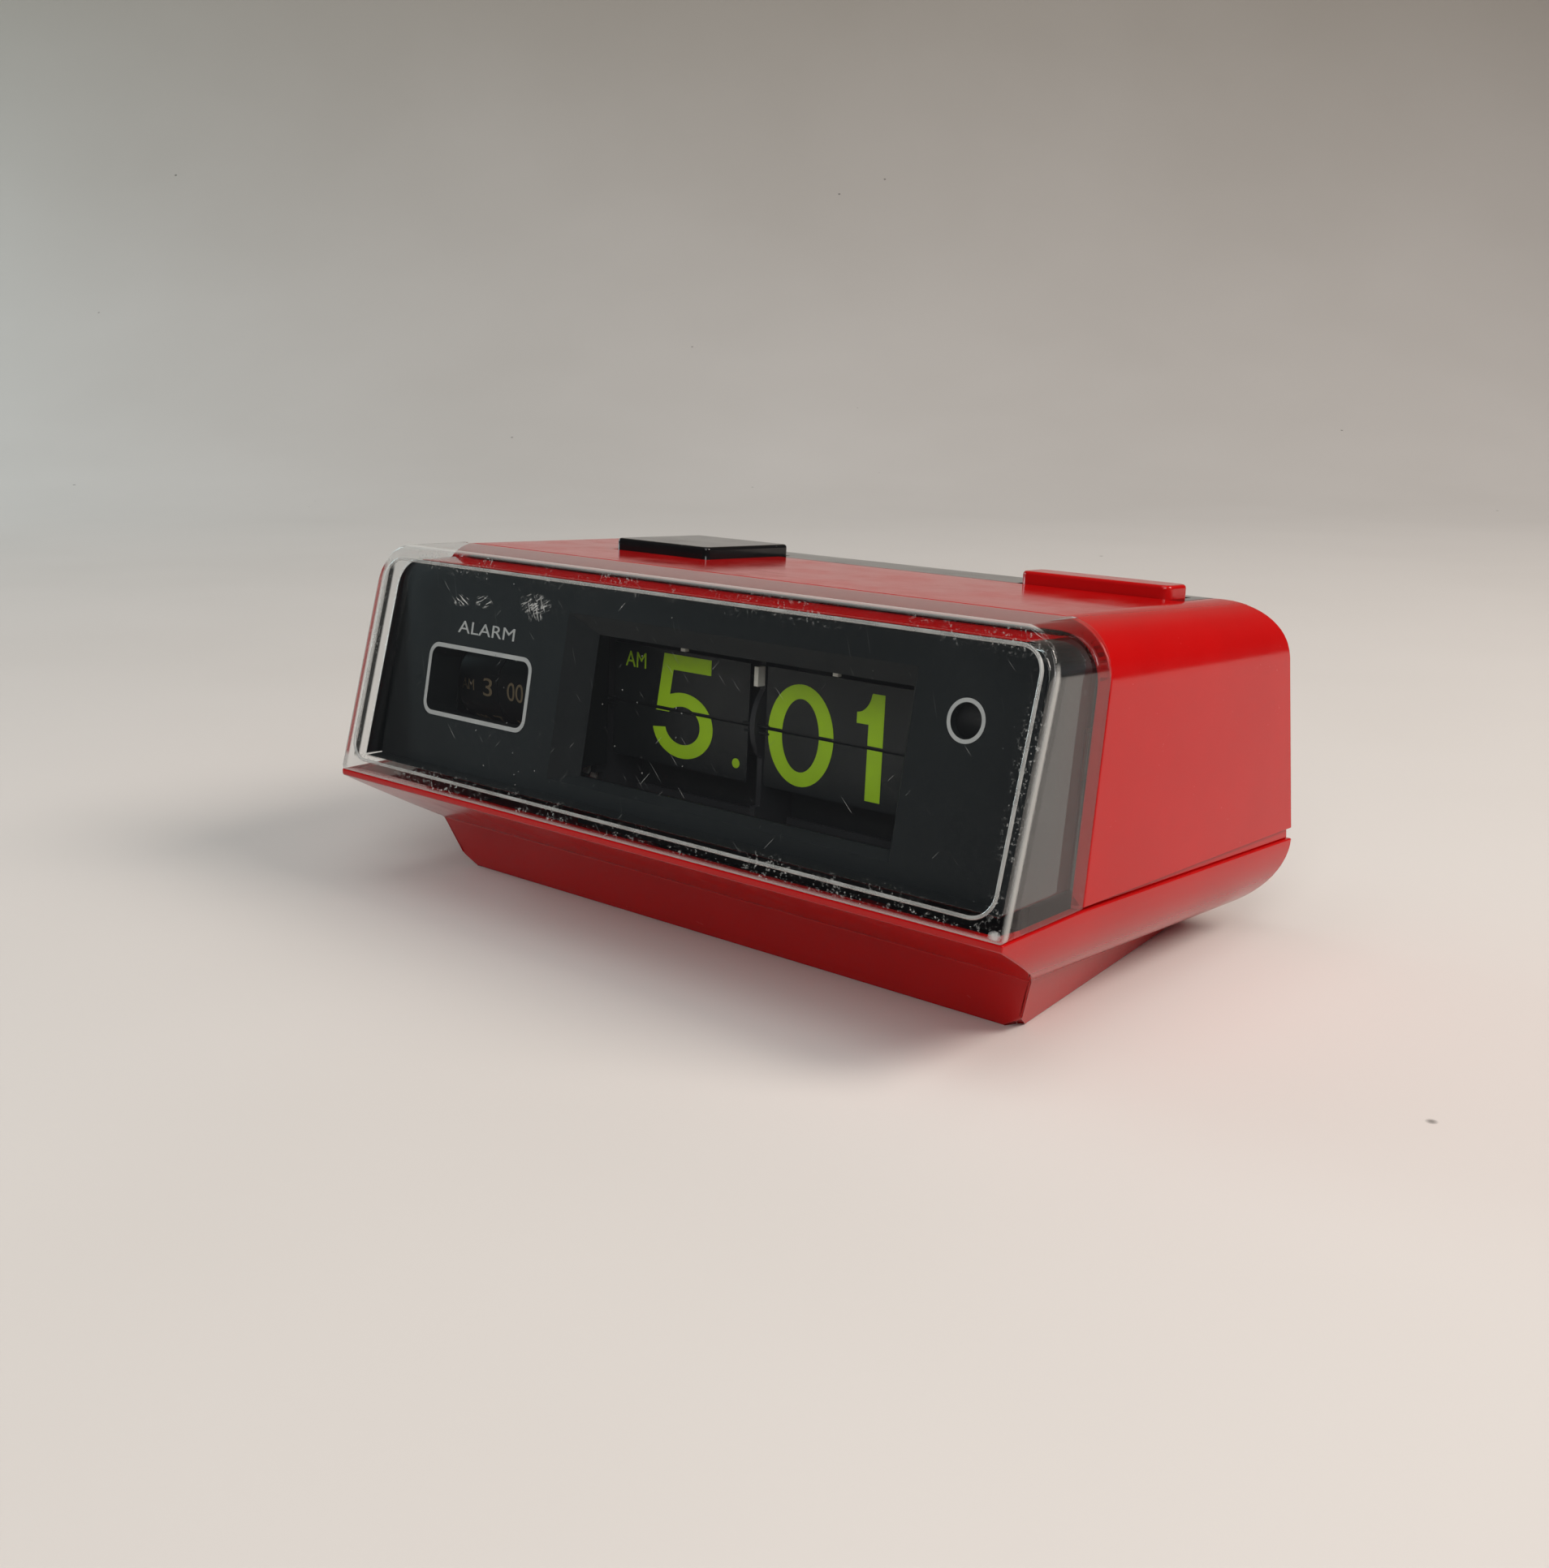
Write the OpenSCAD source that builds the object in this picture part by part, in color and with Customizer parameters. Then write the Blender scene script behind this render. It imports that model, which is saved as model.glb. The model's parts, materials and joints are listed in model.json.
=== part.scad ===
// Flip-card alarm clock with a clear leaning front, two top buttons and a wedge foot.
// Millimetres, Z up, origin on the floor under the middle of the body.

/* [Body] */
// Width of the body
body_w = 170; // [168:1:174]
// Height of the case top above the front datum
case_top = 48.5; // [48:0.5:50]
// Rear wall position at the seam, measured back from the front datum
rear_y = 103.2; // [102:0.2:106]
// Lean of the rear wall in degrees
rear_lean = 14.4; // [13.5:0.1:15]
// Rounding of the top edges of the case at the sides and the rear
top_round = 11; // [10:0.5:12]
// Wall thickness of the red shells
wall = 2.6; // [2.2:0.1:3]
// Height of the seam between the two shells
seam = 1.1; // [0.8:0.1:1.4]
// Height of the shadow groove above the seam at the rear
groove_h = 2.2; // [1:0.1:2.6]
// Depth of the shadow groove
groove_deep = 0.7; // [0.4:0.1:1]

/* [Foot] */
// Radius of the rounding under the sides and rear
bowl_r = 15.4; // [15:0.1:16]
// Height of the rounded bowl below the seam
bowl_drop = 13.5; // [13:0.1:14]
// Height of the red lip under the clear front
lip_h = 1.25; // [0.8:0.05:2]
// Depth of the sloping chin
chin_back = 21.6; // [20:0.2:23]
// Half width of the foot at its front top corner
foot_half = 77.2; // [75:0.2:78]
// Rear end of the foot
foot_rear = 97; // [94:0.5:98]
// Backward lean of the front of the foot in degrees
foot_lean = 21.2; // [19:0.2:23]
// Narrowing of the foot towards the rear in degrees
foot_taper = 6.66; // [6:0.02:7]
// Draft of the sides of the foot in degrees
foot_draft = 19.3; // [18:0.1:20]
// Backward tilt of the whole body on the floor in degrees
tilt = 3.86; // [3.5:0.02:4.2]
// Height of the front datum above the floor
floor_drop = 24.84; // [24.4:0.02:25.4]

/* [Clear front] */
// Backward lean of the clear front in degrees
front_lean = 13.4; // [13:0.1:13.8]
// Depth of the clear cover at the bottom
cover_deep = 23.6; // [23.2:0.1:24]
// Depth of the joint between cover and case at the top
cover_top_deep = 27.4; // [27:0.1:27.8]
// Wall thickness of the clear cover
cover_wall = 2.8; // [2.4:0.1:3]
// Rounding of the top corners of the cover
cover_round = 9; // [7:0.5:10]

/* [Dial] */
// Lean of the dial panel in degrees
dial_lean = 9; // [8.6:0.1:9.4]
// Distance of the dial face behind the front datum
dial_back = 7; // [6.8:0.1:7.2]
// Thickness of the dial panel
dial_t = 1.6; // [1.2:0.1:1.8]
// Half width of the dial panel
dial_half = 81; // [80:0.1:81.4]
// Left edge of the card window on the dial face
window_x0 = -28.5; // [-29:0.1:-28]
// Right edge of the card window on the dial face
window_x1 = 56.4; // [56:0.1:57]
// Lower edge of the card window on the dial face
window_v0 = 7.4; // [7:0.1:8]
// Upper edge of the card window on the dial face
window_v1 = 40.5; // [40:0.1:41]
// Depth of the bevelled border of the card window
window_deep = 1.9; // [1.7:0.1:1.9]
// Width of the alarm window
alarm_w = 30.4; // [29:0.1:31]
// Middle of the round hole, sideways
hole_x = 67.26; // [66.5:0.1:68]
// Radius of the round hole
hole_r = 3; // [2.4:0.1:3.4]

/* [Buttons] */
// Width of the square plate button
plate_w = 27; // [25:0.5:28]
// Depth of the square plate button
plate_d = 26.5; // [25:0.5:27]
// Middle of the plate button, sideways
plate_x = -38; // [-39:0.5:-37]
// Middle of the plate button, front to back
plate_y = 61.25; // [60.5:0.25:62]
// Length of the bar button
bar_w = 32.5; // [30:0.5:33]
// Depth of the bar button
bar_d = 8; // [6.5:0.5:8.5]
// Middle of the bar button, sideways
bar_x = 54; // [53:0.5:55]
// Middle of the bar button, front to back
bar_y = 75; // [74.8:0.1:75.2]
// Height of both buttons above the case top
button_rise = 2.5; // [2:0.1:3]
// Travel of both buttons
button_travel = 1.2; // [0.8:0.1:1.6]
// Sliding clearance round the buttons
button_gap = 0.35; // [0.25:0.05:0.5]
// Half width of the black strip
strip_half = 73; // [71.5:0.5:73.5]
// Front edge of the black strip
strip_y0 = 70.75; // [70.3:0.05:70.8]
// Rear edge of the black strip
strip_y1 = 88; // [86:0.5:89]
// Thickness of the black strip
strip_t = 1.2; // [0.8:0.1:1.4]

/* [Flip cards] */
// Gap between the hour and the minute cards
card_gap = 4.3; // [4:0.1:4.6]
// Left edge of the minute cards
minute_x0 = 14; // [13.8:0.1:14.2]
// Width of each card
card_w = 36.5; // [36:0.1:36.8]
// Front face of the standing cards
card_y = 24.4; // [24.2:0.1:24.6]
// Height of the split between upper and lower cards
split_u = 21.3; // [21:0.1:21.6]
// Height of one half card
half_card = 11.4; // [11:0.1:11.6]
// Thickness of a card
card_t = 0.3; // [0.2:0.02:0.3]
// Number of hour cards in the pack
hour_cards = 24; // [12:12:24]
// Number of minute cards in the pack
minute_cards = 60; // [30:30:60]
// Radius of the spools inside the packs
spool_r = 6.5; // [6.2:0.1:6.7]
// Radius of the card axle
axle_r = 1.5; // [1.2:0.1:1.8]
// Width of the seconds drum
seconds_w = 7.7; // [7:0.1:8]
// Running clearance of turning parts on their shafts
fit = 0.06; // [0.04:0.01:0.1]

/* [Alarm drums] */
// Radius of the alarm drums
drum_r = 9; // [8.5:0.1:9.2]
// Height of the alarm drum axis
drum_u = 18; // [17.6:0.1:18.4]
// Room between the alarm hour drum and the left side of the body
drum_in = 9; // [8.6:0.1:9.5]
// Width of the alarm hour drum
drum_hour_w = 13; // [12:0.1:13.4]

/* [Rear] */
// Room between the rear panel and each side of the body
panel_edge = 15; // [13.5:0.5:16]
// Lower edge of the rear panel above the seam
panel_w0 = 5; // [4.6:0.1:5.4]
// Upper edge of the rear panel above the seam
panel_w1 = 36; // [35.8:0.1:36.6]
// Width of the battery door
door_w = 54; // [53:0.1:54.4]
// Radius of the cell
cell_r = 7.25; // [7:0.05:7.25]
// Length of the cell
cell_l = 50.5; // [49:0.1:50.6]

/* [Hidden] */
$fn = 64;
half_w = body_w / 2;
crease = seam - bowl_drop;
blend = 0.02;
blend_l = 2;
round_y = rear_y - (case_top - top_round - seam) * tan(rear_lean) - top_round / cos(rear_lean);
far = 300;
body_mid = (rear_y * cos(tilt) + (seam - lip_h) * sin(tilt)) / 2;
floor_slope = tan(tilt);
floor_u = -floor_drop / cos(tilt);
dial_skirt = 1.2;
dial_v1 = 46.8;
bevel_left = 7.4;
bevel_right = 1.4;
bevel_top = 3.4;
bevel_low = 1.8;
drum_x0 = drum_in - half_w;
alarm_x0 = drum_x0 + 7.7;
alarm_x1 = alarm_x0 + alarm_w;
alarm_v0 = 15.9;
alarm_v1 = 29.3;
alarm_corner = 2;
hole_v = 32.95;
flange = 1.2;
flange_t = 1.6;
play = 0.3;
leaf_gap = 0.15;
leaf_axis_y = card_y - leaf_gap;
pin_r = 0.3;
split_gap = 0.65;
hour_x1 = minute_x0 - card_gap;
hour_x0 = hour_x1 - card_w;
minute_x1 = minute_x0 + card_w;
pack_in = spool_r + 0.5;
pack_out = pack_in + 0.8;
card_axis_y = card_y + card_t + play + pack_out;
fan_r = pack_out + 10.8;
plate_t = 1.5;
left_x = hour_x0 - 3.7;
centre_t = 1.2;
centre_x = (hour_x1 + minute_x0) / 2 - centre_t / 2;
right_x = minute_x1 + 2.5;
right_in = right_x + plate_t;
base_u = -6.5;
base_t = 1.5;
plate_u0 = base_u + base_t;
plate_u1 = 42;
plate_y0 = card_y - 2.4;
plate_y1 = 72;
sleeve_r = axle_r + 1.1;
arbor_r = 0.75;
lay_r = 1.25;
minute_pinion_n = 12;
lay_wheel_n = 48;
lay_m = 22 / 30;
lay_pinion_n = 8;
hour_wheel_n = 48;
hour_m = 22 / 28;
lay_y = card_axis_y + lay_m * (minute_pinion_n + lay_wheel_n) / 2;
set_n = 30;
seconds_y = 20;
seconds_u = 31.5;
third_wheel_n = 30;
seconds_pinion_n = 8;
third_m = 0.5;
third_pinion_n = 8;
minute_wheel_n = 36;
third_dist = third_m * (third_wheel_n + seconds_pinion_n) / 2;
train_dist = norm([card_axis_y - seconds_y, split_u - seconds_u]);
train_m = 0.6;
train_reach = train_m * (minute_wheel_n + third_pinion_n) / 2;
train_dir = atan2(split_u - seconds_u, card_axis_y - seconds_y);
train_cos = (train_dist ^ 2 + third_dist ^ 2 - train_reach ^ 2) / (2 * train_dist * third_dist);
third_dir = train_dir + acos(train_cos);
third_y = seconds_y + third_dist * cos(third_dir);
third_u = seconds_u + third_dist * sin(third_dir);
to_minute_dir = atan2(split_u - third_u, card_axis_y - third_y);
rotor_pinion_n = 8;
seconds_wheel_n = 20;
rotor_dist = third_m * (rotor_pinion_n + seconds_wheel_n) / 2;
rotor_dir = -80;
rotor_y = seconds_y + rotor_dist * cos(rotor_dir);
rotor_u = seconds_u + rotor_dist * sin(rotor_dir);
gear_t = 1.5;
layer_gap = 0.8;
layer1 = right_in + layer_gap;
layer2 = layer1 + gear_t + layer_gap;
layer3 = layer2 + gear_t + layer_gap;
layer4 = layer3 + gear_t + layer_gap;
layer5 = layer4 + seconds_w + layer_gap;
outer_x = layer5 + gear_t + layer_gap;
hour_layer = left_x - layer_gap - gear_t;
drum_y = card_y + drum_r;
alarm_gear_n = 20;
idler_n = 40;
alarm_m = 1;
idler_y = drum_y + alarm_m * (alarm_gear_n + idler_n) / 2;
bracket_x0 = drum_x0 - 3.5;
bracket_x1 = drum_x0 + 26.5;
bracket_y1 = 92;
alarm_layer = bracket_x1 + plate_t + layer_gap;
minute_drum_x0 = drum_x0 + drum_hour_w + play;
minute_drum_x1 = bracket_x1 - 1;
knob_w = 6;
knob_out = 2.2;
post_right = minute_x1 - 4.5;
post_r = 3;
boss_r = 4.5;
head_r = 2.8;
head_u = -4;
screw_r = 1.25;
base_screw_x = hour_x0 + 6.8;
base_screw_at = [[base_screw_x, 27.5], [base_screw_x, 74], [minute_x1 - 10.5, 27.5], [right_x + 9, 76]];
base_screw_r = 0.9;
bracket_screw_at = [[drum_x0 + 6, 60], [drum_x0 + 19, 46]];
panel_t = 1.4;
panel_rim = 2;
panel_half = half_w - panel_edge;
screw_top = 12;
base_screw_l = 5;
cover_top = case_top - 0.2;
dial_top = cover_top - cover_wall - 0.4;
skirt_y = cover_deep - 3.6;
rim_gap = 0.4;
notch_y = cover_deep + rim_gap;
notch_u = seam + cover_wall + dial_skirt + rim_gap;
dial_round = cover_round - cover_wall - (half_w - cover_wall - dial_half);
slot_gap = 0.6;
set_x = panel_half - panel_rim - knob_w / 2 - slot_gap;
knob_x = -set_x;
contact_t = 0.6;
pocket_x0 = -cell_l / 2 - 1.6;
pocket_x1 = cell_l / 2 + contact_t;
pocket_wall = 1.5;
cell_d = panel_t + 1.6 + cell_r;
pocket_deep = cell_d + cell_r + 0.1;
cell_w = 16.85;
cell_gap = 0.3;
cell_nub = 2.75;
door_w0 = 9.3;
door_w1 = 24.7;
door_axis = door_w0 + play + panel_t / 2;
door_pin = 1;
door_pin_r = 0.4;
upright_t = 1.4;
upright_x = hour_layer - 1 - upright_t;
post_left = upright_x - 4.8;
post_at = [[post_left, 36], [post_left, 84], [post_right, 64], [post_right, 84]];
base_y1 = 78.5;
right_y0 = 17;
right_y1 = 88;
right_u1 = 40;
board_x0 = -26;
board_x1 = 10;
board_y0 = 58;
board_y1 = 78;
board_u = -2.5;
chip_x = board_x0 + 14;
chip_y = board_y0 + 6;
crystal_x = board_x1 - 4;
crystal_y = board_y0 + 4;
buzzer_x = (centre_x + right_x) / 2;
buzzer_y = 69;
buzzer_r = 9;
pillar_r = 1.5;
pillar_edge = 1.2;
pillar_at = [[71, 38], [notch_y + pillar_edge + pillar_r, 1]];
hub_r = card_axis_y - card_y + 1.4;
hub_back = 1.2;
lower_pin_y = card_y + card_t / 2;
lower_pin_u = split_u - 1.4;
coil_room = 0.3;
coil_wall = 0.6;
stator_x = outer_x + plate_t + coil_wall + coil_room;
magnet_over = 0.3;
stator_t = 1.5;
stator_posts = [[rotor_y + 6, rotor_u - 3], [rotor_y + 24, rotor_u]];
magnet_r = 3;
seconds_r = 5;
bar_u0 = 36;
catch_x = [-7.2, 30.7];
catch_u0 = 28.7;
catch_t = 0.8;
lay_phase = 180 + 180 / lay_wheel_n;
set_dir = -8;
set_y = lay_y + lay_m * (lay_wheel_n + set_n) / 2 * cos(set_dir);
set_u = split_u + lay_m * (lay_wheel_n + set_n) / 2 * sin(set_dir);
set_r = rear_at(set_u) + knob_out - set_y;
knurl_n = 60;
bracket_y0 = 26;
bracket_u1 = 30;
idler_phase = 180 + 180 / idler_n;
knob_n = 12;
knob_y = idler_y + alarm_m * (knob_n + idler_n) / 2;
knob_r = rear_at(drum_u) + knob_out - knob_y;
lamp_x = 2;
lamp_y = 21.3;

function rear_at(u) = rear_y - (u - seam) * tan(rear_lean);
function mesh(dir, n1, p1, n2) = dir + 180 + 180 / n2 + (dir - p1) * n1 / n2;

module placed() {
  translate([0, -body_mid, floor_drop]) rotate([-tilt, 0, 0]) children();
}

// Draw a (depth, height) outline and run it sideways
module xbar(x0, x1) {
  translate([x0, 0, 0]) rotate([90, 0, 90]) linear_extrude(x1 - x0) children();
}

// Draw a (sideways, height) outline and run it from front to back
module ybar(y0, y1) {
  translate([0, y1, 0]) rotate([90, 0, 0]) linear_extrude(y1 - y0) children();
}

module rod(x0, x1, y, u, r) {
  xbar(x0, x1) translate([y, u]) circle(r);
}

module block(x0, x1, y0, y1, u0, u1) {
  translate([x0, y0, u0]) cube([x1 - x0, y1 - y0, u1 - u0]);
}

module gear(x0, t, y, u, n, m, phase) {
  r = n * m / 2;
  p = 360 / n;
  xbar(x0, x0 + t) translate([y, u]) polygon([
    for (i = [0 : n - 1], k = [[-0.26, -1.05], [-0.1, 0.8], [0.1, 0.8], [0.26, -1.05]])
      (r + k[1] * m) * [cos(phase + (i + k[0]) * p), sin(phase + (i + k[0]) * p)]
  ]);
}

// Side outline of the upper case, with the top and rear walls set in by i
module side_solid(half, i, front) {
  top = case_top - i;
  r = top_round - i;
  c = [round_y, case_top - top_round];
  out = [cos(rear_lean), sin(rear_lean)];
  down = [sin(rear_lean), -cos(rear_lean)];
  xbar(-half, half) polygon([
    [cover_deep - front, seam],
    [cover_top_deep - front, top],
    [c[0] - blend_l, top],
    [c[0], top - blend],
    c + (r - blend) * out,
    c + r * out + blend_l * down,
    [rear_y - i / cos(rear_lean), seam]
  ]);
  xbar(-half, half) translate(c) circle(r);
}

module arch(half, top, r, bottom) {
  polygon([
    [-half, bottom], [half, bottom], [half, top - r], [half - r, top], [r - half, top], [-half, top - r]
  ]);
  for (x = [r - half, half - r]) translate([x, top - r]) circle(r);
}

module upper_solid(i, front) {
  intersection() {
    union() side_solid(half_w, i, front);
    ybar(0, rear_y + 1) arch(half_w - i, case_top - i, top_round - i, seam - far);
  }
}

module bowl_side(i) {
  r = bowl_r - i;
  c = rear_y - bowl_r;
  slope = (-lip_h - crease) / chin_back;
  rise = i * sqrt(1 + slope ^ 2);
  low = crease + i;
  top = i > 0 ? seam + 5 : seam;
  polygon([
    [i, i > 0 ? top : 0],
    [i, -lip_h - i * slope + rise],
    [(rise - lip_h - low) / slope, low],
    [c, low],
    [c, top],
    [cover_deep, top]
  ]);
  intersection() {
    translate([c, seam]) circle(r);
    translate([c, low]) square([r, seam - low]);
  }
  if (i > 0) translate([c, seam]) square([r, top - seam]);
}

module bowl_front(i) {
  r = bowl_r - i;
  c = half_w - bowl_r;
  low = crease + i;
  polygon([[-c, low], [c, low], [c, seam], [half_w - i, seam], [half_w - i, seam + 6],
    [i - half_w, seam + 6], [i - half_w, seam], [-c, seam]]);
  for (s = [-1, 1]) intersection() {
    translate([s * c, seam]) circle(r);
    translate([s > 0 ? c : -c - r, low]) square([r, seam - low]);
  }
}

module bowl(i) {
  intersection() {
    xbar(-half_w, half_w) bowl_side(i);
    ybar(0, rear_y) bowl_front(i);
  }
}

module foot_slab(i) {
  translate([foot_half, chin_back, crease]) rotate([0, 0, foot_taper]) rotate([0, foot_draft, 0])
    translate([-far - i, -far / 2, -far / 2]) cube([far, far, far]);
}

module foot(i) {
  top = crease + (i > 0 ? i + 1 : 1);
  front = i / cos(foot_lean);
  drop = i / cos(tilt);
  f0 = chin_back + front + (crease - top) * tan(foot_lean);
  low = (floor_u + drop + floor_slope * (chin_back + front + crease * tan(foot_lean)))
    / (1 + floor_slope * tan(foot_lean));
  intersection() {
    xbar(-half_w, half_w) polygon([
      [f0, top],
      [chin_back + front + (crease - low) * tan(foot_lean), low],
      [foot_rear - i, floor_u + drop + floor_slope * (foot_rear - i)],
      [foot_rear - i, top]
    ]);
    foot_slab(i);
    mirror([1, 0, 0]) foot_slab(i);
  }
}

module on_rear() {
  translate([0, rear_y, seam]) rotate([rear_lean, 0, 0]) children();
}

module on_dial() {
  rotate([-dial_lean, 0, 0]) translate([0, dial_back, 0]) children();
}

module strip_solid() {
  difference() {
    intersection() {
      union() side_solid(strip_half, 0, 0);
      block(-half_w, half_w, strip_y0, strip_y1, split_u, case_top + 1);
    }
    side_solid(half_w, strip_t, play);
  }
}

module bar_hole() {
  block(bar_x - bar_w / 2 - button_gap, bar_x + bar_w / 2 + button_gap,
    bar_y - bar_d / 2 - button_gap, bar_y + bar_d / 2 + button_gap, split_u, case_top + 1);
}

module plate_hole() {
  block(plate_x - plate_w / 2 - button_gap, plate_x + plate_w / 2 + button_gap,
    plate_y - plate_d / 2 - button_gap, plate_y + plate_d / 2 + button_gap, split_u, case_top + 1);
}

module button(x, y, w, d) {
  under = case_top - wall - 0.05;
  block(x - w / 2, x + w / 2, y - d / 2, y + d / 2, under - flange_t, case_top + button_rise);
  block(x - w / 2 - flange, x + w / 2 + flange, y - d / 2 - flange, y + d / 2 + flange,
    under - flange_t, under);
}

module upper_case() {
  color([0.7, 0.04, 0.04]) placed() difference() {
    union() {
      difference() {
        upper_solid(0, 0);
        upper_solid(wall, far / 20);
      }
      for (p = post_at) translate([p[0], p[1], seam]) cylinder(h = case_top - wall - seam + 1, r = post_r);
    }
    difference() {
      xbar(-half_w - 1, half_w + 1) polygon([[cover_deep - 1, seam - 1], [rear_y + 1, seam - 1],
        [rear_y + 1, seam + groove_h], [cover_deep - 1, seam + 0.5]]);
      upper_solid(groove_deep, far / 20);
    }
    strip_solid();
    bar_hole();
    plate_hole();
    on_rear() block(-panel_half, panel_half, -panel_t, 2, panel_w0, panel_w1);
    on_rear() block(panel_rim - panel_half, panel_half - panel_rim, -far / 30, 2,
      panel_w0 + panel_rim, panel_w1 - panel_rim);
    for (p = post_at) translate([p[0], p[1], seam - 1]) cylinder(h = screw_top - seam + 1, r = screw_r);
  }
}

module lower_posts() {
  intersection() {
    union() {
      bowl(0);
      foot(0);
    }
    union() {
      for (p = post_at) translate([p[0], p[1], -far / 6]) cylinder(h = far / 6 + seam, r = boss_r);
      for (p = base_screw_at) translate([p[0], p[1], -far / 6]) cylinder(h = far / 6 + base_u, r = post_r);
      for (p = bracket_screw_at)
        translate([p[0], p[1], -far / 6]) cylinder(h = far / 6 + plate_u0, r = post_r);
    }
  }
}

module lower_case() {
  color([0.7, 0.04, 0.04]) placed() difference() {
    union() {
      difference() {
        union() {
          bowl(0);
          foot(0);
        }
        bowl(wall);
        foot(wall);
      }
      lower_posts();
    }
    for (p = post_at) {
      translate([p[0], p[1], -far / 6]) cylinder(h = far / 6 + head_u, r = head_r + play);
      translate([p[0], p[1], head_u - 1]) cylinder(h = seam - head_u + 2, r = screw_r + play);
    }
    for (p = base_screw_at)
      translate([p[0], p[1], base_u - base_screw_l]) cylinder(h = base_screw_l + 1, r = base_screw_r);
    for (p = bracket_screw_at)
      translate([p[0], p[1], plate_u0 - base_screw_l]) cylinder(h = base_screw_l + 1, r = base_screw_r);
  }
}

module front_cover() {
  t = tan(front_lean);
  s = seam / cover_deep;
  y0 = (cover_wall * t + cover_wall / cos(front_lean)) / (1 - s * t);
  u1 = cover_top - cover_wall;
  color([0.8, 0.85, 0.85, 0.4]) placed() difference() {
    intersection() {
      xbar(-half_w, half_w) polygon([[0, 0], [cover_top * t, cover_top], [cover_top_deep, case_top],
        [cover_deep, seam]]);
      ybar(0, cover_top_deep) arch(half_w, case_top, cover_round, -1);
    }
    intersection() {
      xbar(-half_w, half_w) polygon([[y0, s * y0 + cover_wall], [u1 * t + cover_wall / cos(front_lean), u1],
        [cover_top_deep + 9, u1], [cover_top_deep + 9, s * (cover_top_deep + 9) + cover_wall]]);
      ybar(0, cover_top_deep + 9) arch(half_w - cover_wall, u1, cover_round - cover_wall, -1);
    }
  }
}

// Card window narrowing towards the cards, as two crossed prisms so that its corners are mitred
module window_bevel() {
  end = window_deep + 1;
  intersection() {
    translate([0, 0, window_v0]) linear_extrude(window_v1 - window_v0) polygon([
      [window_x0, -1], [window_x1, -1], [window_x1, 0],
      [window_x1 - bevel_right, window_deep], [window_x1 - bevel_right, end],
      [window_x0 + bevel_left, end], [window_x0 + bevel_left, window_deep], [window_x0, 0]
    ]);
    xbar(window_x0, window_x1) polygon([
      [-1, window_v0], [0, window_v0], [window_deep, window_v0 + bevel_low], [end, window_v0 + bevel_low],
      [end, window_v1 - bevel_top], [window_deep, window_v1 - bevel_top], [0, window_v1], [-1, window_v1]
    ]);
  }
}

module dial_panel() {
  s = seam / cover_deep;
  color([0.09, 0.11, 0.12]) placed() intersection() {
    union() {
      on_dial() difference() {
        union() {
          block(-dial_half, dial_half, 0, dial_t, 0, dial_v1);
          block(window_x0, window_x1, 0, window_deep, window_v0, window_v1);
        }
        window_bevel();
        block(alarm_x0, alarm_x1, -1, dial_t + 1, alarm_v0 + alarm_corner, alarm_v1 - alarm_corner);
        block(alarm_x0 + alarm_corner, alarm_x1 - alarm_corner, -1, dial_t + 1, alarm_v0, alarm_v1);
        for (x = [alarm_x0 + alarm_corner, alarm_x1 - alarm_corner],
            v = [alarm_v0 + alarm_corner, alarm_v1 - alarm_corner])
          translate([x, dial_t + 1, v]) rotate([90, 0, 0]) cylinder(h = dial_t + 2, r = alarm_corner);
        translate([hole_x, dial_t + 1, hole_v]) rotate([90, 0, 0]) cylinder(h = dial_t + 2, r = hole_r);
      }
      difference() {
        on_dial() block(-dial_half, dial_half, 0, far / 10, 0, dial_v1 + 3);
        on_dial() block(-dial_half, dial_half, -1, dial_t, 0, dial_v1 + 4);
        xbar(dial_skirt - dial_half, dial_half - dial_skirt) polygon([[0, cover_wall + dial_skirt],
          [0, dial_top - dial_skirt], [far / 6, dial_top - dial_skirt],
          [far / 6, s * far / 6 + cover_wall + dial_skirt]]);
      }
    }
    xbar(-half_w, half_w) polygon([[0, cover_wall], [0, dial_top], [skirt_y, dial_top],
      [skirt_y, s * skirt_y + cover_wall]]);
    ybar(0, far / 6) arch(dial_half, dial_top, dial_round, -1);
  }
}

module top_strip() {
  color([0.02, 0.02, 0.02]) placed() difference() {
    strip_solid();
    bar_hole();
    plate_hole();
  }
}

module light_button() {
  color([0.02, 0.02, 0.02]) placed() button(plate_x, plate_y, plate_w, plate_d);
}

module alarm_bar() {
  color([0.7, 0.04, 0.04]) placed() button(bar_x, bar_y, bar_w, bar_d);
}

module wheel_slot(x, w, y, u, r) {
  c = [(y - rear_y) * cos(rear_lean) + (u - seam) * sin(rear_lean),
    (rear_y - y) * sin(rear_lean) + (u - seam) * cos(rear_lean)];
  h = sqrt(r ^ 2 - (c[0] + panel_t) ^ 2) + slot_gap;
  block(x - w / 2 - slot_gap, x + w / 2 + slot_gap, -panel_t - 1, 1, c[1] - h, c[1] + h);
}

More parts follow.
